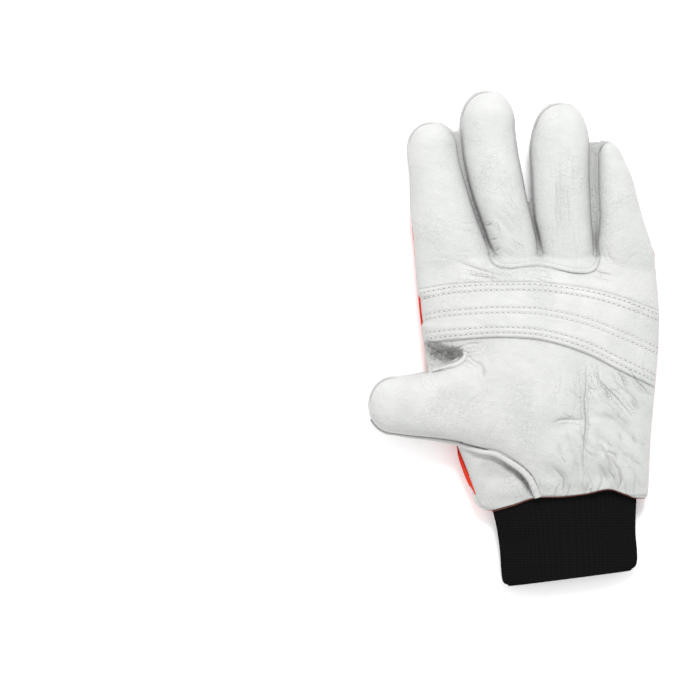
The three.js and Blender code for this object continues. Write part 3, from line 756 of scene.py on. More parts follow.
def crease_lines():
    """The named creases, and short ones scattered over each patch from a fixed seed, as paths of 72
    points with a depth and a width each."""
    steps = np.linspace(0, 1, 72)
    paths, deeps, wides = [], [], []
    for deep, wide, line in CREASES:
        paths.append(np.stack(through(line, steps), axis=-1))
        deeps.append(deep)
        wides.append(wide)
    rng = np.random.default_rng(11)
    for x, y, wide, long, turn, count, deep, fat in WRINKLE_PATCHES:
        for _ in range(count):
            middle = np.array([x + wide * rng.uniform(-1, 1), y + long * rng.uniform(-1, 1)])
            angle = math.radians(turn + rng.normal(0, 16))
            reach, bend = rng.uniform(3.0, 10.0), rng.normal(0, 0.13)
            run = (steps - 0.5) * 2 * reach
            waver = 0.4 * np.sin(steps * rng.uniform(5, 9) + rng.uniform(0, 6))
            across = bend * run * run / reach + waver
            c, n = math.cos(angle), math.sin(angle)
            paths.append(middle + np.stack([run * c - across * n, run * n + across * c], axis=-1))
            deeps.append(deep * rng.uniform(0.4, 1.0))
            wides.append(rng.uniform(0.5, 0.95) * fat)
    return np.array(paths), np.array(deeps), np.array(wides)


def creases(x, y):
    """How deep all creases press the surface: each is depth * (1.25 * exp(-(d/w)^2) - 0.3 *
    exp(-(d/2.6w)^2)), a valley between two low swells, fading out at its ends. Also the signed
    distance to the strongest crease near each point and its strength, with which the material
    paints shade along narrow creases and presses them into its bump."""
    shape = np.shape(x)
    x, y = np.ravel(x), np.ravel(y)
    total, best = np.zeros(len(x)), np.full(len(x), 1e-9)
    gap, strength = np.full(len(x), 9.0), np.zeros(len(x))
    for path, deep, wide in zip(*crease_lines()):
        low, high = path.min(axis=0) - 3.2 * wide - 1, path.max(axis=0) + 3.2 * wide + 1
        near = np.flatnonzero((x > low[0]) & (x < high[0]) & (y > low[1]) & (y < high[1]))
        if not len(near):
            continue
        dx, dy = x[near, None] - path[:, 0], y[near, None] - path[:, 1]
        k = np.hypot(dx, dy).argmin(axis=1)
        run = unit(np.gradient(path, axis=0))
        pick = np.arange(len(near))
        d = run[k, 0] * dy[pick, k] - run[k, 1] * dx[pick, k]
        beyond = np.abs(run[k, 0] * dx[pick, k] + run[k, 1] * dy[pick, k])
        fade = np.sin(np.pi * (0.04 + 0.92 * k / (len(path) - 1))) * bump(beyond, 1.2)
        valley = 1.25 * bump(d, wide) - 0.3 * bump(d / 2.6, wide)
        total[near] += deep * fade * valley
        weight = deep * fade * bump(d, wide)
        better = weight > best[near]
        chosen = near[better]
        best[chosen], gap[chosen] = weight[better], d[better]
        strength[chosen] = (deep * fade)[better] * np.clip(1.7 - wide, 0.0, 1.0)
    return total.reshape(shape), gap.reshape(shape), strength.reshape(shape)


def ripple(x, y, scale, seed):
    """Soft unevenness: five sine waves of different directions and lengths, between -1 and 1."""
    rng = np.random.default_rng(seed)
    total = np.zeros(np.shape(x))
    for k in range(5):
        angle, phase = rng.uniform(0, np.pi), rng.uniform(0, 2 * np.pi)
        length = scale * rng.uniform(0.6, 1.6)
        total = total + np.sin((x * np.cos(angle) + y * np.sin(angle)) * 2 * np.pi / length + phase)
    return total / 5


def tip_seam(hand, x, y):
    """Groove along the upper left of each rounded tip, where the front meets the back's rim: a bell
    over the distance to the outline, 1 mm inside it."""
    total = np.zeros(np.shape(x))
    upper_left = math.radians(128.0)
    for form in (*hand.fingers.values(), hand.thumb):
        along, u, outside = form.lean(x, y)
        share = np.maximum(form.share(along), 0.02)
        half = (form.right(along) - form.left(along)) / 2
        px = form.split(x, y)[1] - (form.left(along) + form.right(along)) / 2
        py = along - form.straight
        if form.root is not None:
            px, py = -py, px
        facing = np.cos(np.arctan2(py, px) - upper_left)
        radial = np.hypot(u * share, np.maximum(along - form.straight, 0) / form.rounding)
        d = (1 - radial) * np.minimum(half, form.rounding)
        weight = ease((facing - 0.6) / 0.3) * (along > form.straight - 8) * (outside <= 0)
        total = np.maximum(total, weight * bump(d - 1.0, 0.3))
    return total


def line_distance(line, x, y):
    """Distance to an open line of plan points."""
    a, run = line[:-1], np.diff(line, axis=0)
    dx, dy = x[..., None] - a[:, 0], y[..., None] - a[:, 1]
    t = np.clip((dx * run[:, 0] + dy * run[:, 1]) / (run**2).sum(axis=1), 0, 1)
    return np.hypot(dx - t * run[:, 0], dy - t * run[:, 1]).min(axis=-1)


def painted_shade_lines(hand, x, y):
    """Painted shade lines along the seams and in the deep hollows, the strongest at each point: tip
    seams, the grooves between two fingers, the strap's edges, the thumb's rolled seam, the groove
    below the turned edge at the finger roots and the pocket's core."""
    # Painted shade in each tip seam.
    marks = [tip_seam(hand, x, y)]
    # Painted shade in the groove between two fingers, between the rows that GROOVES gives.
    for (near, far), (low, high) in GROOVES.items():
        left, right = hand.fingers[near].right(y), hand.fingers[far].left(y)
        gap = np.maximum(right - left, 0.0)
        weight = 0.85 * ease((y - low) / 7.0) * ease((high - y) / 16.0)
        marks.append(weight * bump(x - (left + right) / 2, 0.36 + gap / 2))
    # Painted shadow lines just outside the strap's upper and lower edges.
    upper, lower = strap_edges(hand)
    marks.append(0.4 * bump(y - upper(x) - 0.3, 0.34))
    marks.append(0.45 * bump(lower(x) - y - 0.3, 0.34))
    # Painted shadow line along the thumb's lower edge, where its rolled seam lies.
    edge = hand.thumb.left(hand.thumb.root - x)
    on = ease((x - hand.thumb.root + 52) / 30) * (y < -80)
    marks.append(0.85 * bump(y - edge - 0.5, 0.4) * on)
    # Painted shadow line just outside the turned edge at the finger roots.
    lip = np.asarray(ROOT_LIP)
    above = inside_distance(lip, x, y) > 0
    marks.append(0.85 * bump(line_distance(lip, x, y) - 1.4, 0.32) * (y < 9) * ~above)
    # Painted shade in the pocket: strongest at its core, broken up by crossed sine waves, and a
    # little over all of it.
    core = np.hypot((x - POCKET_CORE[0]) / 3.0, (y - POCKET_CORE[1]) / 2.6)
    inside = ease(inside_distance(np.asarray(POCKET), x, y) / 1.5)
    shade_breakup = 0.55 + 0.45 * np.sin(1.9 * x + 2.6 * y) * np.sin(2.4 * x - 1.3 * y)
    marks.append(inside * (0.95 * np.exp(-core * core) * shade_breakup + 0.06))
    return np.maximum.reduce(marks)


def leather_top(hand, x, y, edge):
    """The front surface with its creases, tip seams and unevenness, which fade out at the outline
    (edge 0). Also the crease values and the painted shade lines for the material."""
    hold = ease(edge / 3.5)
    z = hand.front(x, y)
    relief = 0.5 * ripple(x, y, 26, 3) + 0.14 * ripple(x, y, 9, 5) + 0.05 * ripple(x, y, 4.5, 8)
    depth, gap, strength = creases(x, y)
    lap = (0.9 + np.maximum(z - hand.s["seam_height"], 0) * (y > -20)) * bump(edge, 0.5)
    z = z + hold * (relief - depth) - 0.2 * tip_seam(hand, x, y) - lap
    return z, gap, strength * hold, painted_shade_lines(hand, x, y)


def marked(gap, strength, seam):
    """The attributes that the leather's material reads, painted shade among them."""
    held = {"crease_gap": gap, "crease_strength": strength, "painted_shade": seam}
    return {name: values.ravel() for name, values in held.items()}


def only_painted_shade(seam):
    """The same for a piece without creases: it carries only painted shade."""
    return marked(np.full(seam.size, NO_CREASE), np.zeros(seam.size), seam)


def leather_skin(hand, name, plans, forms, look):
    """A leather sheet over plan grids, with the attributes that its material reads."""
    made = [leather_top(hand, x, y, edge_distance(forms, x, y)) for x, y in plans]
    blocks = [placed(hand, x, y, m[0]) for (x, y), m in zip(plans, made)]
    held = marked(*(np.concatenate([m[k].ravel() for m in made]) for k in (1, 2, 3)))
    skin = piece(name, blocks, look, upward=True, attributes=held)
    return wall(skin, hand.s["leather_wall"])


def row_across(form, at, cols):
    """Plan positions across a form in one row."""
    return form.across(np.full(cols, at), bell(cols))


def fanned(top_x, v):
    """Shares of the way across a fan of columns, which start evenly at the hem and end over the
    given positions."""
    low_t = (bell(len(top_x)) + 1) / 2
    high_t = (top_x - top_x[0]) / (top_x[-1] - top_x[0])
    return low_t, low_t + (high_t - low_t) * ease((v - 0.55) / 0.45)


def palm_grid(hand):
    """Plan points of the palm. Columns fan from the hem to the roots of the four fingers, rows run
    from the hem line to the finger roots. Left of the thumb's seam nothing is covered."""
    index, little = (
        row_across(hand.fingers[name], FINGER_FOOT, FRONT_COLS[name]) for name in ("index", "little")
    )
    root_x = np.linspace(*(hand.s["palm_width"] * ROOT_SEAM[k][0] for k in (0, -1)), ROOT_COLS)
    top_x = np.concatenate([index, root_x, little])
    top_y = np.full(len(top_x), FINGER_FOOT)
    top_y[len(index):-len(little)] = hand.root_seam(root_x)

    def left(y):
        side = hand.palm.left(y)
        joined = side + (hand.welt_x(hand.corner_y) - side) * ease((hand.corner_y + 9.0 - y) / 9.0)
        return np.where(y < hand.corner_y, np.maximum(hand.welt_x(y), side), joined)

    v = np.linspace(0, 1, 180)[:, None]
    low_t, t = fanned(top_x, v)
    foot = np.full(len(top_x), -127.0)
    foot_y = hand.hem(left(foot) + (hand.palm.right(foot) - left(foot)) * low_t)
    y = foot_y + (top_y - foot_y) * v
    start, stop = left(y), hand.palm.right(y)
    return start + (stop - start) * t, y


def finger_grid(form, first_x, start, stop, rows, u):
    """Plan points along a finger from one row of given points to its tip."""
    if stop >= form.end:
        body = np.linspace(start, form.straight, rows, endpoint=False)
        along = np.concatenate([body, form.tip(22)])
    else:
        along = np.linspace(start, stop, rows)
    along = along[:, None] * np.ones_like(u)
    across = form.across(along, u)
    if first_x is not None:
        blend = ease((along - start) / 6.0)
        across = first_x * (1 - blend) + across * blend
        across[0] = first_x
    return across, along


def edge_distance(forms, x, y):
    """Distance to the outline of whichever form covers the point best."""
    best = np.zeros(np.shape(x))
    for form in forms:
        along, u, outside = form.lean(x, y)
        half = (form.right(along) - form.left(along)) / 2 * form.share(along)
        out = (outside > 0) | (along < form.start)
        inside = np.where(out, 0.0, (1 - np.minimum(np.abs(u), 1)) * half)
        best = np.maximum(best, inside)
    return best


def build_palm(hand, look):
    """Palm, index finger, little finger and thumb as one leather skin of joined grids."""
    x, y = palm_grid(hand)
    plans = [(x, y)]
    first, last = x[-1, :FRONT_COLS["index"]], x[-1, -FRONT_COLS["little"]:]
    for name, shared in (("index", first), ("little", last)):
        form = hand.fingers[name]
        plans.append(finger_grid(form, shared, FINGER_FOOT, form.end, 80, bell(len(shared))))
    low = np.flatnonzero(y[:, 0] >= hand.corner_y)[0]
    high = np.abs(y[:, 0] + 60.0).argmin()
    joint_x, joint_y = x[low:high + 1, 0], y[low:high + 1, 0]
    thumb, count = hand.thumb, len(joint_x)
    starts = (thumb.root - joint_x)[:, None]
    along = starts + (thumb.straight - starts) * np.linspace(0, 1, 44, endpoint=False)
    along = np.concatenate([along, np.repeat(thumb.tip(20)[None], count, axis=0)], axis=1)
    blend = ease((along - starts) / 9.0)
    across = joint_y[:, None] * (1 - blend) + thumb.across(along, bell(count)[:, None]) * blend
    px, py = thumb.place(along, across)
    px[:, 0], py[:, 0] = joint_x, joint_y
    plans.append((px[::-1], py[::-1]))
    obj = leather_skin(hand, "palm_front", plans, [hand.palm, thumb, *hand.fingers.values()], look)
    return finish(obj, "leather", "palm_leather")


def build_middle_ring(hand, look):
    """Fronts of the middle and ring fingers, joined below where they part."""
    middle, ring = hand.fingers["middle"], hand.fingers["ring"]
    cols = FRONT_COLS["middle"]
    part = 4.2
    ring_cols = FRONT_COLS["ring"]
    top_x = np.concatenate([row_across(middle, part, cols), row_across(ring, part, ring_cols)])
    low_x = np.concatenate([
        np.linspace(ROOT_SEAM[0][0] * hand.s["palm_width"], middle.right(0.0), cols),
        np.linspace(ring.left(0.0), ROOT_SEAM[-1][0] * hand.s["palm_width"], ring_cols),
    ])
    v = np.linspace(0, 1, 12)[:, None]
    foot = hand.root_seam(low_x) - 0.4
    plans = [(low_x + (top_x - low_x) * v, foot + (part - foot) * v)]
    last = plans[0][0][-1]
    for form, shared in ((middle, last[:cols]), (ring, last[cols:])):
        plans.append(finger_grid(form, shared, part, form.end, 110, bell(len(shared))))
    obj = leather_skin(hand, "middle_ring_skin", plans, [hand.palm, middle, ring], look)
    return finish(obj, "leather", "middle_ring_front")


def leather_back(hand, name, form, px, py, floor, look):
    """A leather sheet under a form, from its plan points."""
    z = np.maximum(form.under(px, py) - 0.1, floor)
    obj = piece(name + "_skin", [placed(hand, px, py, z)], look, upward=False)
    return wall(obj, hand.s["leather_wall"])


def build_finger_back(hand, name, look):
    """Lower half of a fingertip, from where the fabric ends round the tip."""
    form = hand.finger_backs[name]
    px, py = finger_grid(form, None, form.back, form.end, 60, bell(44))
    obj = leather_back(hand, name + "_back", form, px, py, 0.02, look)
    return finish(obj, "leather", name + "_finger_back")


def build_thumb_back(hand, look):
    """Lower half of the thumb."""
    thumb = hand.thumb
    body = np.linspace(22.0, thumb.straight, 60, endpoint=False)
    along = np.concatenate([body, thumb.tip(20)])[:, None] * np.ones(40)
    px, py = thumb.place(along, thumb.across(along, bell(40)))
    obj = leather_back(hand, "thumb_back", thumb, px, py, -math.inf, look)
    return finish(obj, "leather", "thumb_back")


def build_gusset(hand, look):
    """Side leather below the thumb: rows from the hem up to beneath the thumb's seam, with a hollow
    along that seam which closes towards the hem."""
    rows, cols, top = 110, 70, -54.0
    v = np.linspace(0, 1, rows)[:, None] * np.ones(cols)
    t = np.linspace(0, 1, cols) * np.ones((rows, 1))
    foot = hand.hem(np.linspace(-37.0, 2.5, cols))[None, :]
    y = foot + (top - foot) * v
    for _ in range(3):
        start = hand.palm.left(y) + 0.2
        stop = np.maximum(np.where(y < -96, hand.welt_x(y) + 1.2, start + 14), start + 14)
        x = start + (stop - start) * t
        foot = hand.hem(x[:1])
        y = foot + (top - foot) * v
    corner = ease((-31.0 - x) / 5.0) * ease((-y - 127.0) / 8.0)
    y = y + 3.0 * corner
    x = x - 1.6 * ease((-y - 114) / 8.0) * (1 - t)
    z = hand.palm_top(x, y) - 0.4
    line = welt_path(hand, 120)[0]
    d = line_distance(line[:, :2], x + hand.shift_x, y + hand.shift_y)
    inner = ease(np.clip((x - start) / 9.0, 0, 1))
    place = bump(x + 9.0, 12.0)
    sink = (1.6 + 4.2 * place) * bump(d - 1.6, 2.7) + 0.7 * ripple(x, y, 6, 4) * bump(d, 7)
    z = z - sink * inner * ease((-y - 92) / 8) * ease((y + 131.0) / 11.0)
    under = np.minimum(z, hand.thumb.low(hand.thumb.root - x) + 3)
    z = under + (np.maximum(z, 11.0) - under) * ease((-y - 88.0) / 8.0)
    dx, dy = x[..., None] + hand.shift_x - line[:, 0], y[..., None] + hand.shift_y - line[:, 1]
    k = np.hypot(dx, dy).argmin(axis=-1)
    z = z + (line[k, 2] - 0.7 - z) * np.exp(-((d / 1.3) ** 4)) * (y < -80)
    # Painted shade in the hollow beneath the thumb's rolled seam, uneven along it and fading out
    # towards the hem and the top; it goes to the painted shade attribute.
    rough = 0.7 + 0.5 * ripple(x, y, 5, 9)
    seam = 0.6 * place * rough * bump(d - 1.2, 1.2) * ease((-y - 96) / 6) * ease((y + 128) / 8)
    held = only_painted_shade(seam)
    obj = piece("gusset_skin", [placed(hand, x, y, z)], look, upward=True, attributes=held)
    return finish(wall(obj, hand.s["leather_wall"]), "side_leather", "thumb_gusset")


# Width of the thumb's rolled seam against the share of the thumb's length, in millimetres.
WELT_WIDTH = Curve([-0.17, -0.05, 0.1, 0.3, 0.5, 0.7, 1.0], [4.2, 4.0, 3.6, 2.9, 2.0, 1.4, 1.0])


def welt_path(hand, count):
    """Along the thumb's lower edge from the hem to the tip and part of the way round it, with the
    roll's width at each point."""
    thumb = hand.thumb
    side = np.linspace(-0.167 * thumb.end, thumb.straight, count)
    x, y = thumb.place(side, thumb.left(side))
    angle = np.radians(np.linspace(3, 60, count // 5))
    left, right = thumb.left(thumb.straight), thumb.right(thumb.straight)
    round_tip = (left + right) / 2 - (right - left) / 2 * np.cos(angle)
    tx, ty = thumb.place(thumb.straight + thumb.rounding * np.sin(angle), round_tip)
    x, y = np.concatenate([x, tx]), np.concatenate([y, ty])
    wide = WELT_WIDTH(thumb.split(x, y)[0] / thumb.end)
    run = unit(np.stack([np.gradient(x), np.gradient(y)], axis=-1))
    x, y = x + run[:, 1] * wide * -0.42, y - run[:, 0] * wide * -0.42
    along = thumb.split(x, y)[0]
    z = smoothed(np.maximum(thumb.seam(along) + 0.6, hand.front(x, y) - 0.6))
    return placed(hand, x, y, z), wide


def build_thumb_welt(hand, look):
    """A flattened roll along the thumb's seam, drawn in a little at every stitch, and the edge that
    curls into the pocket."""
    path, wide = welt_path(hand, 360)
    reach = run_length(path)
    pinch = 1 - 0.05 * bump((reach / STITCH_PITCH) % 1 - 0.5, 0.16) + 0.04 * np.sin(reach / 3.1)
    profile = round_profile(1.0, 0.85, 18)[None] * (wide * pinch)[:, None, None]
    finish(cord("thumb_roll", path, profile, look), "leather", "thumb_welt")
    t = np.linspace(0, 1, 90)
    x, y = through(CROTCH_ROLL, t)
    z = hand.front(x, y - 1.5) - 0.9
    wide = 1.2 + 1.6 * np.sin(np.clip(t * 1.15, 0, 1) * np.pi * 0.75)
    profile = round_profile(1.0, 0.9, 16)[None] * wide[:, None, None]
    return finish(cord("crotch_roll", placed(hand, x, y, z), profile, look), "leather")


def build_root_lip(hand, look):
    """Turned edge along the roots of the middle and ring fingers, curling up at both ends."""
    t = np.linspace(0, 1, 260)
    x, y = through(ROOT_LIP, t)
    z = hand.front(x, y) + 0.35 - 2.2 * ease((t - 0.86) / 0.14) - 1.2 * ease((0.1 - t) / 0.1)
    size = 0.55 + 0.45 * ease(np.minimum(t, 1 - t) / 0.16)
    profile = round_profile(2.7, 1.9, 16, 2.4)[None] * size[:, None, None]
    lip = cord("root_lip", placed(hand, x, y, z), profile, look)
    return finish(lip, "leather", "finger_seam_welt")


def build_fourchettes(hand, look):
    """Side strips: a low wall carried down one finger's side, round the web and up the next, and a
    band between the two fronts which fills the gap that they leave."""
    for near, far in GROOVES:
        a, b = hand.fingers[near], hand.fingers[far]
        down = np.linspace(0.985 * a.end, 2.5, 70)
        up = np.linspace(2.5, 0.985 * b.end, 70)
        x = np.concatenate([a.across(down, 1.0) - 1.35, b.across(up, -1.0) + 1.35])
        path = placed(hand, x, np.concatenate([down, up]), np.full(len(x), 9.3))
        obj = cord(f"side_strip_{near}_{far}", path, round_profile(2.6, 5.0, 16, 3.0), look)
        finish(obj, "side_leather", f"fourchette_{near}_{far}")
        end = {"index": 0.93 * a.end, "middle": 32.0, "ring": 0.985 * b.end}[near]
        y = np.linspace(-1.0, end, 90)
        left, right = a.across(y, 1.0), b.across(y, -1.0)
        middle, gap = (left + right) / 2, np.maximum(right - left, 0.0)
        t = np.linspace(-1, 1, 16)
        over = np.where(t < 0, 1.2, 0.8 if near == "ring" else 1.2)
        bx = middle[:, None] + (gap / 2)[:, None] * t + over * t
        by = y[:, None] + 0 * bx
        lift = 1.7 * ease((t + 0.3) / 1.3) * (near == "ring") + 4.3 * (1 - ease((by - 2.0) / 10.0))
        bz = 12.2 + lift - 0.4 * (1 - t * t) + 0.15 * ripple(bx, by, 14, 2)
        top = placed(hand, bx, by, bz)
        low = top.copy()
        low[..., 2] = 7.5
        block = capped(np.concatenate([top, low[:, ::-1]], axis=1))
        height = block[..., 1] - hand.shift_y
        # Painted shade on the band: strongest a little above the web, fading towards the tips beside
        # the index and ring fingers, weaker right at the web.
        band_shade = 0.12 + 0.5 * ease((66.0 - height) / 56.0) * (near == "index")
        band_shade = band_shade + 0.7 * ease((26.0 - height) / 22.0) * (near == "ring")
        band_shade = band_shade + 0.6 * (near == "middle")
        band_shade = band_shade * (0.35 + 0.65 * ease((height - 1.0) / 8.0))
        held = only_painted_shade(np.clip(band_shade, 0, 0.9))
        band = piece(f"side_band_{near}_{far}", [block], look, wrap=True, attributes=held)
        finish(band, "side_leather")


def strap_edges(hand):
    """Upper and lower edge of the strap, as curves over the palm's width."""
    wide, long = hand.s["palm_width"], hand.s["palm_length"]
    return [column(STRAP_EDGES, STRAP_COLUMNS, name, wide, long) for name in ("upper", "lower")]


def strap_point(hand, t, v):
    """Plan point of the strap: t from its left to its right end, v from upper to lower edge."""
    upper, lower = strap_edges(hand)
    x = (-0.5 + t * 1.02) * hand.s["palm_width"]
    for _ in range(3):
        y = upper(x) + (lower(x) - upper(x)) * v
        left, right = hand.palm.left(y), hand.palm.right(y)
        x = (left + right) / 2 + (right - left) / 2 * np.sin((t - 0.5) * np.pi * 0.96)
    return x, y


def stitch_share(row, t):
    """Where a row of stitches lies across the strap, at a share of its length."""
    return Curve([0, 0.5, 1], row)(t)


def strap_top(hand, x, y, v, t):
    """Strap surface: the palm's front lifted by the strap, pressed in along every row of stitches
    and rounded down at both long edges."""
    upper, lower = strap_edges(hand)
    z, gap, strength, _ = leather_top(hand, x, y, edge_distance([hand.palm], x, y))
    width = np.abs(lower(x) - upper(x))
    groove = np.zeros(np.shape(x))
    for row in STITCH_ROWS:
        groove = groove + 0.34 * bump((v - stitch_share(row, t)) * width, 0.75)
    side = np.minimum(v, 1 - v) * width
    edge = 1.5 * (1 - np.exp(-side / 0.5))
    return z + 0.2 + edge - groove, gap, strength, groove


def build_strap(hand, look):
    """The strap across the palm, with a rolled-down edge all round."""
    t = np.linspace(0, 1, 300) * np.ones((90, 1))
    v = ((bell(90) + 1) / 2)[:, None] * np.ones((1, 300))
    x, y = strap_point(hand, t, v)
    z, gap, strength, groove = strap_top(hand, x, y, v, t)
    # Painted shade along the rows of stitch grooves, with the creases' values.
    held = marked(gap, strength, 0.16 * groove)
    obj = piece("strap_skin", [placed(hand, x, y, z)], look, upward=True, attributes=held)
    return finish(wall(obj, STRAP_WALL), "leather", "palm_strap")


def rings(centre, first, second, radius, flatness=1.0):
    """Six points round each centre, in the plane of two axes: radius times cosine along the first,
    radius times flatness times sine along the second."""
    around = np.linspace(0, 2 * np.pi, 6, endpoint=False)
    c = (radius[:, None] * np.cos(around))[..., None]
    n = (radius[:, None] * flatness * np.sin(around))[..., None]
    return centre[:, :, None] + first[:, None, None] * c + second[:, None, None] * n


def build_strap_stitches(hand, thread, hole):
    """Short threads along six lines of the strap, and between each two a small sunk disc of
    painted shade for the needle holes.
    """
    blocks, dots = [], []
    steps = np.linspace(-1, 1, 5)
    lift = 0.16 * (1 - steps**2) + 0.04
    radius = 0.27 * np.sqrt(np.maximum(1 - (steps * 0.9) ** 2, 0.05))
    t = np.linspace(0.012, 0.988, 3000)
    for row in STITCH_ROWS:
        v = stitch_share(row, t)
        x, y = strap_point(hand, t, v)
        line = placed(hand, x, y, strap_top(hand, x, y, v, t)[0])
        reach = run_length(line)
        middles = np.arange(STITCH_PITCH, reach[-1] - STITCH_PITCH, STITCH_PITCH)
        at = lambda q: np.stack([np.interp(q, reach, line[:, k]) for k in range(3)], axis=-1)
        run = unit(at(middles + 0.5) - at(middles - 0.5))
        side, rise = level_axes(run)
        centre = at(middles[:, None] + steps * STITCH_LENGTH / 2) + rise[:, None] * lift[:, None]
        blocks.extend(capped(r) for r in rings(centre, side, rise, radius, 0.8))
        # Small sunk discs between the stitches: painted shade of the needle holes.
        holes = at(middles + STITCH_PITCH / 2) + rise * 0.05
        sunk = rise[:, None] * np.array([0.0, -0.03, -0.25])[:, None]
        dots.extend(rings(holes[:, None] + sunk, side, run, np.array([0.0, 0.46, 0.0])))
    finish(piece("strap_stitches", blocks, thread, wrap=True), "leather")
    finish(piece("strap_needle_holes", dots, hole, wrap=True), "leather")


def build_back(hand, look):
    """Padded back below palm and finger roots. Its rim rounds down to the floor over 11 mm: height =
    seam * (1 - (1 - (1 - d/11)^1.8)^(1/1.8)) for the distance d beyond 0.6 mm from the outline, with
    small gathers along the rim."""
    form, backs = hand.palm_back, hand.finger_backs
    roots = [row_across(backs[name], FINGER_FOOT, cols) for name, cols in BACK_COLS.items()]
    top_x = np.concatenate(roots)
    v = np.linspace(0, 1, 110)[:, None]
    low_t, t = fanned(top_x, v)
    foot_left, foot_right = form.left(-126.0), form.right(-126.0)
    foot = hand.hem(foot_left + (foot_right - foot_left) * low_t)
    y = foot + (FINGER_FOOT - foot) * v
    x = form.left(y) + 0.3 + (form.right(y) - form.left(y) - 0.6) * t

    def height(px, py):
        d = edge_distance([form, *backs.values()], px, py)
        k = np.clip(1 - (d - 0.6) / RIM_REACH, 0, 1)
        dip = 2.6 * np.exp(-(((py + 51.5) / 9.0) ** 4)) * (px < -45.0)
        z = (form.seam(py) - 0.9 - dip) * (1 - np.maximum(1 - k**1.8, 0.0) ** (1 / 1.8))
        gather = 0.35 * ripple(px, py, 8, 6) * np.sin(np.pi * np.clip(d / RIM_REACH, 0, 1))
        to_side = np.minimum(px - backs["index"].left(py), backs["little"].right(py) - px)
        inner = ease((to_side - 2.0) / 6.0)
        drop = (0.07 + 0.25 * inner) * ease((py - 1.0) / 6.0)
        return np.maximum((z + gather) * (1 - drop), 0.02)

    blocks = [placed(hand, x, y, height(x, y))]
    first = 0
    for name, cols in BACK_COLS.items():
        shared, u = x[-1, first:first + cols], bell(cols)
        px, py = finger_grid(backs[name], shared, FINGER_FOOT, backs[name].back, 30, u)
        px = px - 0.3 * u * ease((py - FINGER_FOOT) / 6.0)
        blocks.append(placed(hand, px, py, height(px, py)))
        first += cols
    obj = wall(piece("padded_back", blocks, look, upward=False), FABRIC_WALL)
    finish(obj, "back_fabric", "back_panel")
    y = np.linspace(-126.0, 25.0, 260)
    x = smoothed(np.where(y < 0, form.left(y), backs["index"].left(y)) + 2.05)
    size = (1 + 0.05 * ripple(x, y, 9, 3))[:, None, None]
    path = placed(hand, x, y, 9.9 - 3.5 * bump(y + 50.0, 12.0))
    finish(cord("padded_edge", path, round_profile(3.6, 4.2, 16)[None] * size, look), "back_fabric")
    return obj


# Sides of the cuff. along: share of its length from the hem. left, right: shares of its width from
# its centre line.
CUFF_COLUMNS = ("along", "left", "right")
CUFF_EDGES = (
    (-1.0, -0.43, 0.495),
    (-0.86, -0.441, 0.502),
    (-0.52, -0.455, 0.489),
    (-0.29, -0.478, 0.49),
    (-0.08, -0.505, 0.495),
    (0.08, -0.515, 0.49),
)


def build_cuff(hand, look):
    """Knit tube of round-topped ribs: outside from inside the leather down to the fold, round the
    fold and up the inside. Section: an oval with powers 2/2.4; each rib a rectified sine."""
    s = hand.s
    rib_height, rows = 0.55, 70
    a = np.linspace(0, 2 * np.pi, s["ribs"] * 6, endpoint=False)
    down = np.linspace(0.08, -1.0, rows)
    fold = np.linspace(0, np.pi, 9)[1:-1]
    along = np.concatenate([down, -1.0 - 0.02 * np.sin(fold), down[::-1]])
    inset = np.concatenate([np.zeros(rows), 1.1 * (1 - np.cos(fold)), np.full(rows, 2.2)])
    ribbed = np.concatenate([np.ones(rows), np.cos(fold / 2), np.full(rows, 0.35)])
    left, right = (column(CUFF_EDGES, CUFF_COLUMNS, name)(along) for name in ("left", "right"))
    corner = 1 - np.sqrt(np.maximum(1 - np.clip((-0.92 - along) / 0.08, 0, 1) ** 2, 0.0))
    wide = (right - left) * s["cuff_width"] - 5.0 * corner
    centre = (left + right) / 2 * s["cuff_width"] + hand.cuff_x
    lift = Curve([-1, -0.5, -0.25, 0.08], [0, 0, 1.8, 1.8])(along)
    slope = Curve([-1, -0.5, -0.25, 0.08], [0.128, 0.128, 0.09, 0.09])(along)
    rib = rib_height * np.abs(np.sin(a * s["ribs"] / 2)) ** 0.7
    c, n = oval(a, FRONT_ROUNDNESS)
    out = ribbed[:, None] * (rib - rib_height) - inset[:, None]
    half = (wide / 2)[:, None] + out
    x = centre[:, None] + half * c
    y = -s["palm_length"] + along[:, None] * s["cuff_length"] + slope[:, None] * half * c
    z = lift[:, None] + s["cuff_depth"] / 2 + (s["cuff_depth"] / 2 + out) * n
    return finish(piece("rib_cuff", [placed(hand, x, y, z)], look, wrap=True), "knit", "knit_cuff")


def build_hem_thread(hand, look):
    """Thin brown seam thread between the leather's hem and the knit."""
    x = np.linspace(-25.5, 57.5, 200)
    y = hand.hem(x) - 0.35
    path = placed(hand, x, y, hand.palm_top(x, y) - 1.1)
    return finish(cord("hem_thread", path, round_profile(0.4, 0.4, 8), look), "knit")


# Materials


class Value:
    """A socket of numbers, with arithmetic that adds Math nodes."""

    def __init__(self, paint, socket):
        self.paint, self.socket = paint, socket

    def _math(self, kind, *values):
        return self.paint.add("ShaderNodeMath", {"operation": kind}, dict(enumerate(values)))

    def __add__(self, other):
        return self._math("ADD", self, other)

    def __mul__(self, other):
        return self._math("MULTIPLY", self, other)

    def __sub__(self, other):
        return self._math("SUBTRACT", self, other)

    def __rsub__(self, other):
        return self._math("SUBTRACT", other, self)

    __radd__ = __add__
    __rmul__ = __mul__

    def clamp(self):
        settings = {"operation": "ADD", "use_clamp": True}
        return self.paint.add("ShaderNodeMath", settings, {0: self, 1: 0.0})

    def between(self, low, high):
        """0 below low, 1 above high, smooth in between."""
        inputs = {"Value": self, "From Min": low, "From Max": high}
        return self.paint.add("ShaderNodeMapRange", {"interpolation_type": "SMOOTHSTEP"}, inputs)


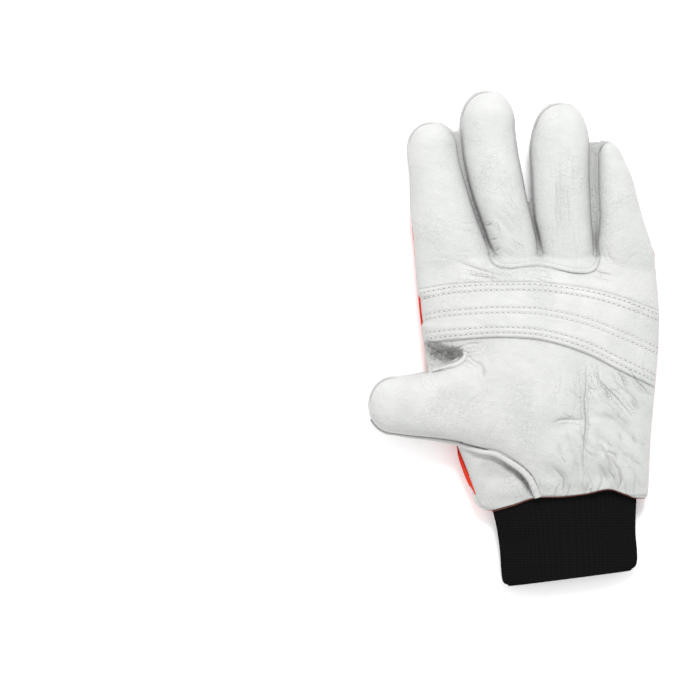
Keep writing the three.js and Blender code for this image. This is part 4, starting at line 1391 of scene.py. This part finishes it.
class Paint:
    """The nodes of one material."""

    def __init__(self, name):
        self.material = bpy.data.materials.new(name)
        self.material.use_nodes = True
        self.tree = self.material.node_tree
        self.shader = self.tree.nodes["Principled BSDF"]
        self.object = self.add("ShaderNodeTexCoord", out="Object")

    def _feed(self, socket, value):
        if isinstance(value, Value):
            self.tree.links.new(value.socket, socket)
        else:
            socket.default_value = value

    def add(self, kind, settings=None, inputs=None, out=0):
        """One node: its settings, its inputs by name or number, and the output that is used."""
        made = self.tree.nodes.new(kind)
        for key, value in (settings or {}).items():
            setattr(made, key, value)
        for key, value in (inputs or {}).items():
            self._feed(made.inputs[key], value)
        return Value(self, made.outputs[out])

    def finish(self, specular, **named):
        """Feeds the shader and gives back the finished material."""
        self.shader.inputs["Specular IOR Level"].default_value = specular
        for key, value in named.items():
            self._feed(self.shader.inputs[key.replace("_", " ")], value)
        return self.material

    def mix(self, factor, a, b):
        """Blend of two colours. Inputs 6 and 7 and output 2 are the node's colours."""
        a, b = (c if isinstance(c, Value) else (*c, 1.0) for c in (a, b))
        settings = {"data_type": "RGBA", "blend_type": "MIX"}
        return self.add("ShaderNodeMix", settings, {0: factor, 6: a, 7: b}, 2)

    def noise(self, scale, detail=3.0, rough=0.55):
        inputs = {"Vector": self.object, "Scale": scale, "Detail": detail, "Roughness": rough}
        return self.add("ShaderNodeTexNoise", None, inputs, "Fac")

    def cells(self, scale, vector, feature="F1"):
        inputs = {"Vector": vector, "Scale": scale}
        return self.add("ShaderNodeTexVoronoi", {"feature": feature}, inputs, "Distance")

    def wave(self, direction, scale, distortion, detail=2.0, detail_scale=1.0):
        settings = {"wave_type": "BANDS", "bands_direction": direction}
        inputs = {
            "Vector": self.object, "Scale": scale, "Distortion": distortion, "Detail": detail,
            "Detail Scale": detail_scale,
        }
        return self.add("ShaderNodeTexWave", settings, inputs, "Fac")

    def attribute(self, name):
        return self.add("ShaderNodeAttribute", {"attribute_name": name}, None, "Fac")

    def bump(self, height, distance, strength, **normal):
        inputs = {"Height": height, "Distance": distance, "Strength": strength, **normal}
        return self.add("ShaderNodeBump", None, inputs, "Normal")


def shaded(colour, k, lift=0.0):
    """A colour times k plus lift, at most 1."""
    return tuple(min(c * k + lift, 1.0) for c in colour)


def leather_look(name, colour, shade_factor=1.0, grain=1.0):
    """Grain leather: fine pebbles, a net of tiny wrinkles, soft mottling, and painted shade lines in
    the creases and seams that the piece's own attributes mark."""
    p = Paint(name)
    # A factor below 1 darkens the whole piece: painted shade.
    colour = tuple(c * shade_factor for c in colour)
    mottled = p.noise(55, 4, 0.6).between(0.3, 0.7)
    tone = p.mix(mottled, shaded(colour, 1.03), shaded(colour, 0.95))
    warm = tuple(c * k for c, k in zip(colour, (0.9, 0.92, 0.92)))
    tone = p.mix(p.noise(14, 3, 0.5).between(0.4, 0.75) * 0.5, tone, warm)
    waves = {"Vector": p.object, "Scale": 180.0, "Detail": 2.0}
    warp = p.add("ShaderNodeTexNoise", None, waves, "Color")
    bend = {0: warp, 1: (0.0035, 0.0035, 0.0035), 2: p.object}
    bent = p.add("ShaderNodeVectorMath", {"operation": "MULTIPLY_ADD"}, bend)
    net = 1 - p.cells(330, bent, "DISTANCE_TO_EDGE").between(0.0, 0.09)
    small = 1 - p.cells(760, bent, "DISTANCE_TO_EDGE").between(0.0, 0.14)
    patch = p.noise(45, 2, 0.5).between(0.4, 0.62)
    tone = p.mix(net * patch * 0.05, tone, shaded(colour, 0.62))
    grime = p.noise(420, 4, 0.65).between(0.52, 0.72)
    tone = p.mix(grime * 0.07, tone, shaded(colour, 0.55))
    # Painted shade from the piece's attributes: lines along the narrow creases, which also press
    # into the bump, then the seams, grooves and hollows.
    gap, strength = p.attribute("crease_gap"), p.attribute("crease_strength")
    seam = p.attribute("painted_shade")
    wander = gap + (p.noise(300, 2, 0.5) - 0.5) * 0.9
    line = (1 - (wander * wander).between(0.0, 0.16)) * (strength * 1.4).clamp()
    tone = p.mix(line * 0.28, tone, shaded(colour, 0.36))
    tone = p.mix(seam * 0.75, tone, shaded(colour, 0.3))
    stretch = {"Vector": p.object, "Scale": (1, 1.2, 1)}
    pebble = p.cells(900, p.add("ShaderNodeMapping", None, stretch, "Vector"))
    fine, soft = p.noise(2100, 2, 0.5), p.noise(240, 4, 0.6)
    height = pebble * 0.3 + fine * 0.15 + soft * 0.75 - net * patch * 0.3 - small * 0.12 - line * 1.5
    swell = p.bump(p.noise(85, 3, 0.55), 0.0025, 0.16)
    normal = p.bump(height, 0.0005 * grain, 0.8, Normal=swell)
    return p.finish(0.4, Base_Color=tone, Roughness=0.52 + mottled * 0.12, Normal=normal)


def fabric_look(colour):
    """Plain weave: two crossed waves, with threads that vary a little in tone."""
    p = Paint("orange_weave")
    weave = p.wave("X", 420.0, 0.6, 1.0) * p.wave("Y", 420.0, 0.6, 1.0)
    tone = p.mix(weave.between(0.0, 0.5) * 0.35, shaded(colour, 0.72), shaded(colour, 1.0))
    tone = p.mix(p.noise(60, 3).between(0.35, 0.75) * 0.3, tone, shaded(colour, 1.4, 0.02))
    normal = p.bump(weave + p.noise(900, 2) * 0.3, 0.0003, 0.8)
    return p.finish(0.25, Base_Color=tone, Roughness=0.72 + weave * 0.15, Normal=normal)


def knit_look(colour):
    """Rib knit yarn: rows of small loops and fuzz."""
    p = Paint("black_rib_knit")
    loops, fuzz = p.wave("Y", 210.0, 1.2, 2.0, 2.0), p.noise(2600, 3, 0.7)
    tone = p.mix(loops * 0.5, shaded(colour, 0.5), shaded(colour, 1.6))
    tone = p.mix(fuzz.between(0.6, 0.78) * 0.5, tone, shaded(colour, 4.5))
    normal = p.bump(loops * 0.7 + fuzz * 0.5, 0.0005, 0.8)
    return p.finish(0.1, Base_Color=tone, Roughness=0.88 + fuzz * 0.1, Normal=normal)


def thread_look(name, colour):
    """Twisted thread: slanting bands across each stitch."""
    p = Paint(name)
    twist = p.wave("DIAGONAL", 700.0, 0.5)
    tone = p.mix(twist * 0.5, shaded(colour, 1.0), shaded(colour, 0.7))
    normal = p.bump(twist, 0.0001, 0.6)
    return p.finish(0.5, Base_Color=tone, Roughness=0.6 + twist * 0.1, Normal=normal)


def floor_look(colour):
    """Table top: one tone that varies very little."""
    p = Paint("studio_floor")
    tone = p.mix(p.noise(3, 2).between(0.3, 0.7) * 0.15, shaded(colour, 1.0), shaded(colour, 0.985))
    return p.finish(0.5, Base_Color=tone, Roughness=0.9 + p.noise(20, 2) * 0.02)


_made = {}


def looks():
    """All materials, made once."""
    if not _made:
        c = bpy.context.scene.glove_colours
        _made.update(
            leather=leather_look("grain_leather", c.leather),
            # Side pieces lie in hollows and gaps: the same leather with painted shade over all of it
            # and a coarser grain.
            side=leather_look("side_leather", c.leather, 0.95, 1.3),
            fabric=fabric_look(c.fabric),
            knit=knit_look(c.knit),
            thread=thread_look("white_thread", c.thread),
            seam_thread=thread_look("brown_thread", c.seam_thread),
            # Discs for the needle holes: painted shade.
            hole=thread_look("needle_hole", NEEDLE_HOLE_SHADE),
        )
    return _made


# Operators


class Step:
    """What the operators share: each builds its pieces from the hand's forms and the looks."""

    def execute(self, context):
        self.build(Hand(), looks())
        return {"FINISHED"}


class GLOVE_OT_leather(Step, bpy.types.Operator):
    """Build the palm and the fronts of the fingers and thumb"""

    bl_idname = "glove.leather"
    bl_label = "Leather fronts"

    def build(self, hand, look):
        build_palm(hand, look["leather"])
        build_middle_ring(hand, look["leather"])


class GLOVE_OT_backs(Step, bpy.types.Operator):
    """Build the leather backs of the fingertips and thumb, the side strips and the gusset"""

    bl_idname = "glove.backs"
    bl_label = "Leather backs and sides"

    def build(self, hand, look):
        for name in hand.fingers:
            build_finger_back(hand, name, look["leather"])
        build_thumb_back(hand, look["leather"])
        build_gusset(hand, look["side"])
        build_fourchettes(hand, look["side"])


class GLOVE_OT_seams(Step, bpy.types.Operator):
    """Build the rolled seam of the thumb and the turned edge at the finger roots"""

    bl_idname = "glove.seams"
    bl_label = "Rolled seams"

    def build(self, hand, look):
        build_thumb_welt(hand, look["leather"])
        build_root_lip(hand, look["leather"])


class GLOVE_OT_strap(Step, bpy.types.Operator):
    """Build the strap across the palm with its stitches"""

    bl_idname = "glove.strap"
    bl_label = "Palm strap"

    def build(self, hand, look):
        build_strap(hand, look["leather"])
        build_strap_stitches(hand, look["thread"], look["hole"])


class GLOVE_OT_back(Step, bpy.types.Operator):
    """Build the padded fabric back"""

    bl_idname = "glove.back"
    bl_label = "Padded back"

    def build(self, hand, look):
        build_back(hand, look["fabric"])


class GLOVE_OT_cuff(Step, bpy.types.Operator):
    """Build the ribbed knit cuff"""

    bl_idname = "glove.cuff"
    bl_label = "Knit cuff"

    def build(self, hand, look):
        build_cuff(hand, look["knit"])
        build_hem_thread(hand, look["seam_thread"])


def soft_light(name, place, width, power, centre):
    """A round area light that faces the centre."""
    light = bpy.data.lights.new(name, "AREA")
    light.shape, light.size, light.energy = "DISK", width, power
    obj = bpy.data.objects.new(name, light)
    obj.location = place
    obj.rotation_euler = (Vector(centre) - Vector(place)).to_track_quat("-Z", "Y").to_euler()
    bpy.context.scene.collection.objects.link(obj)


# Half the table's width, how far it lies below the glove and the point that the lights face, all in
# metres. Lights: name, place and width in metres, power in watts.
TABLE_REACH = 3.0
TABLE_GAP = 0.0002
LIGHTS_FACE = (-0.04, 0.0, 0.01)
LIGHTS = (("key", (0.1, 1.0, 1.35), 0.6, 20.0), ("fill", (-0.9, -0.35, 1.6), 1.0, 3.0))


class GLOVE_OT_stage(bpy.types.Operator):
    """Set up the floor, the lights and the camera straight above"""

    bl_idname = "glove.stage"
    bl_label = "Studio"

    def execute(self, context):
        scene, studio = context.scene, context.scene.glove_studio
        gx, gy = np.meshgrid(*[np.linspace(-TABLE_REACH, TABLE_REACH, 3)] * 2)
        table = [np.stack([gx, gy, gx * 0 - TABLE_GAP], axis=-1) / MM]
        look = floor_look(scene.glove_colours.floor)
        piece("studio_table", table, look, upward=True)
        camera = bpy.data.cameras.new("overhead")
        camera.sensor_width = 36.0
        distance = studio.camera_height - studio.exact_height
        camera.lens = camera.sensor_width * distance / studio.frame_width
        camera.clip_start, camera.clip_end = 0.05, 20.0
        holder = bpy.data.objects.new("overhead", camera)
        holder.location = (studio.centre_x, studio.centre_y, studio.camera_height)
        scene.collection.objects.link(holder)
        scene.camera = holder
        scene.world = bpy.data.worlds.new("studio")
        scene.world.use_nodes = True
        sky = scene.world.node_tree.nodes["Background"].inputs
        sky[0].default_value = (1, 1, 1, 1)
        sky[1].default_value = studio.brightness
        scene.view_settings.view_transform = "Standard"
        for name, place, width, power in LIGHTS:
            soft_light(name, place, width, power * studio.brightness, LIGHTS_FACE)
        return {"FINISHED"}


STEPS = (
    GLOVE_OT_leather,
    GLOVE_OT_backs,
    GLOVE_OT_seams,
    GLOVE_OT_strap,
    GLOVE_OT_back,
    GLOVE_OT_cuff,
    GLOVE_OT_stage,
)


class GLOVE_PT_sidebar(bpy.types.Panel):
    """Buttons that build the glove piece by piece"""

    bl_label = "Work glove"
    bl_idname = "GLOVE_PT_sidebar"
    bl_space_type = "VIEW_3D"
    bl_region_type = "UI"
    bl_category = "Glove"

    def draw(self, context):
        for key, kind in GROUPS.items():
            for name in kind.__annotations__:
                self.layout.prop(getattr(context.scene, key), name)
        for step in STEPS:
            self.layout.operator(step.bl_idname)


GROUPS = {"glove_sizes": GloveSizes, "glove_colours": GloveColours, "glove_studio": StudioSettings}


def register():
    for group in GROUPS.values():
        bpy.utils.register_class(group)
    for name, group in GROUPS.items():
        setattr(bpy.types.Scene, name, PointerProperty(type=group))
    for step in (*STEPS, GLOVE_PT_sidebar):
        bpy.utils.register_class(step)


def unregister():
    for step in reversed((*STEPS, GLOVE_PT_sidebar)):
        bpy.utils.unregister_class(step)
    for name, group in GROUPS.items():
        delattr(bpy.types.Scene, name)
        bpy.utils.unregister_class(group)


def main():
    register()
    for step in STEPS:
        group, name = step.bl_idname.split(".")
        getattr(getattr(bpy.ops, group), name)()


if __name__ == "__main__":
    main()
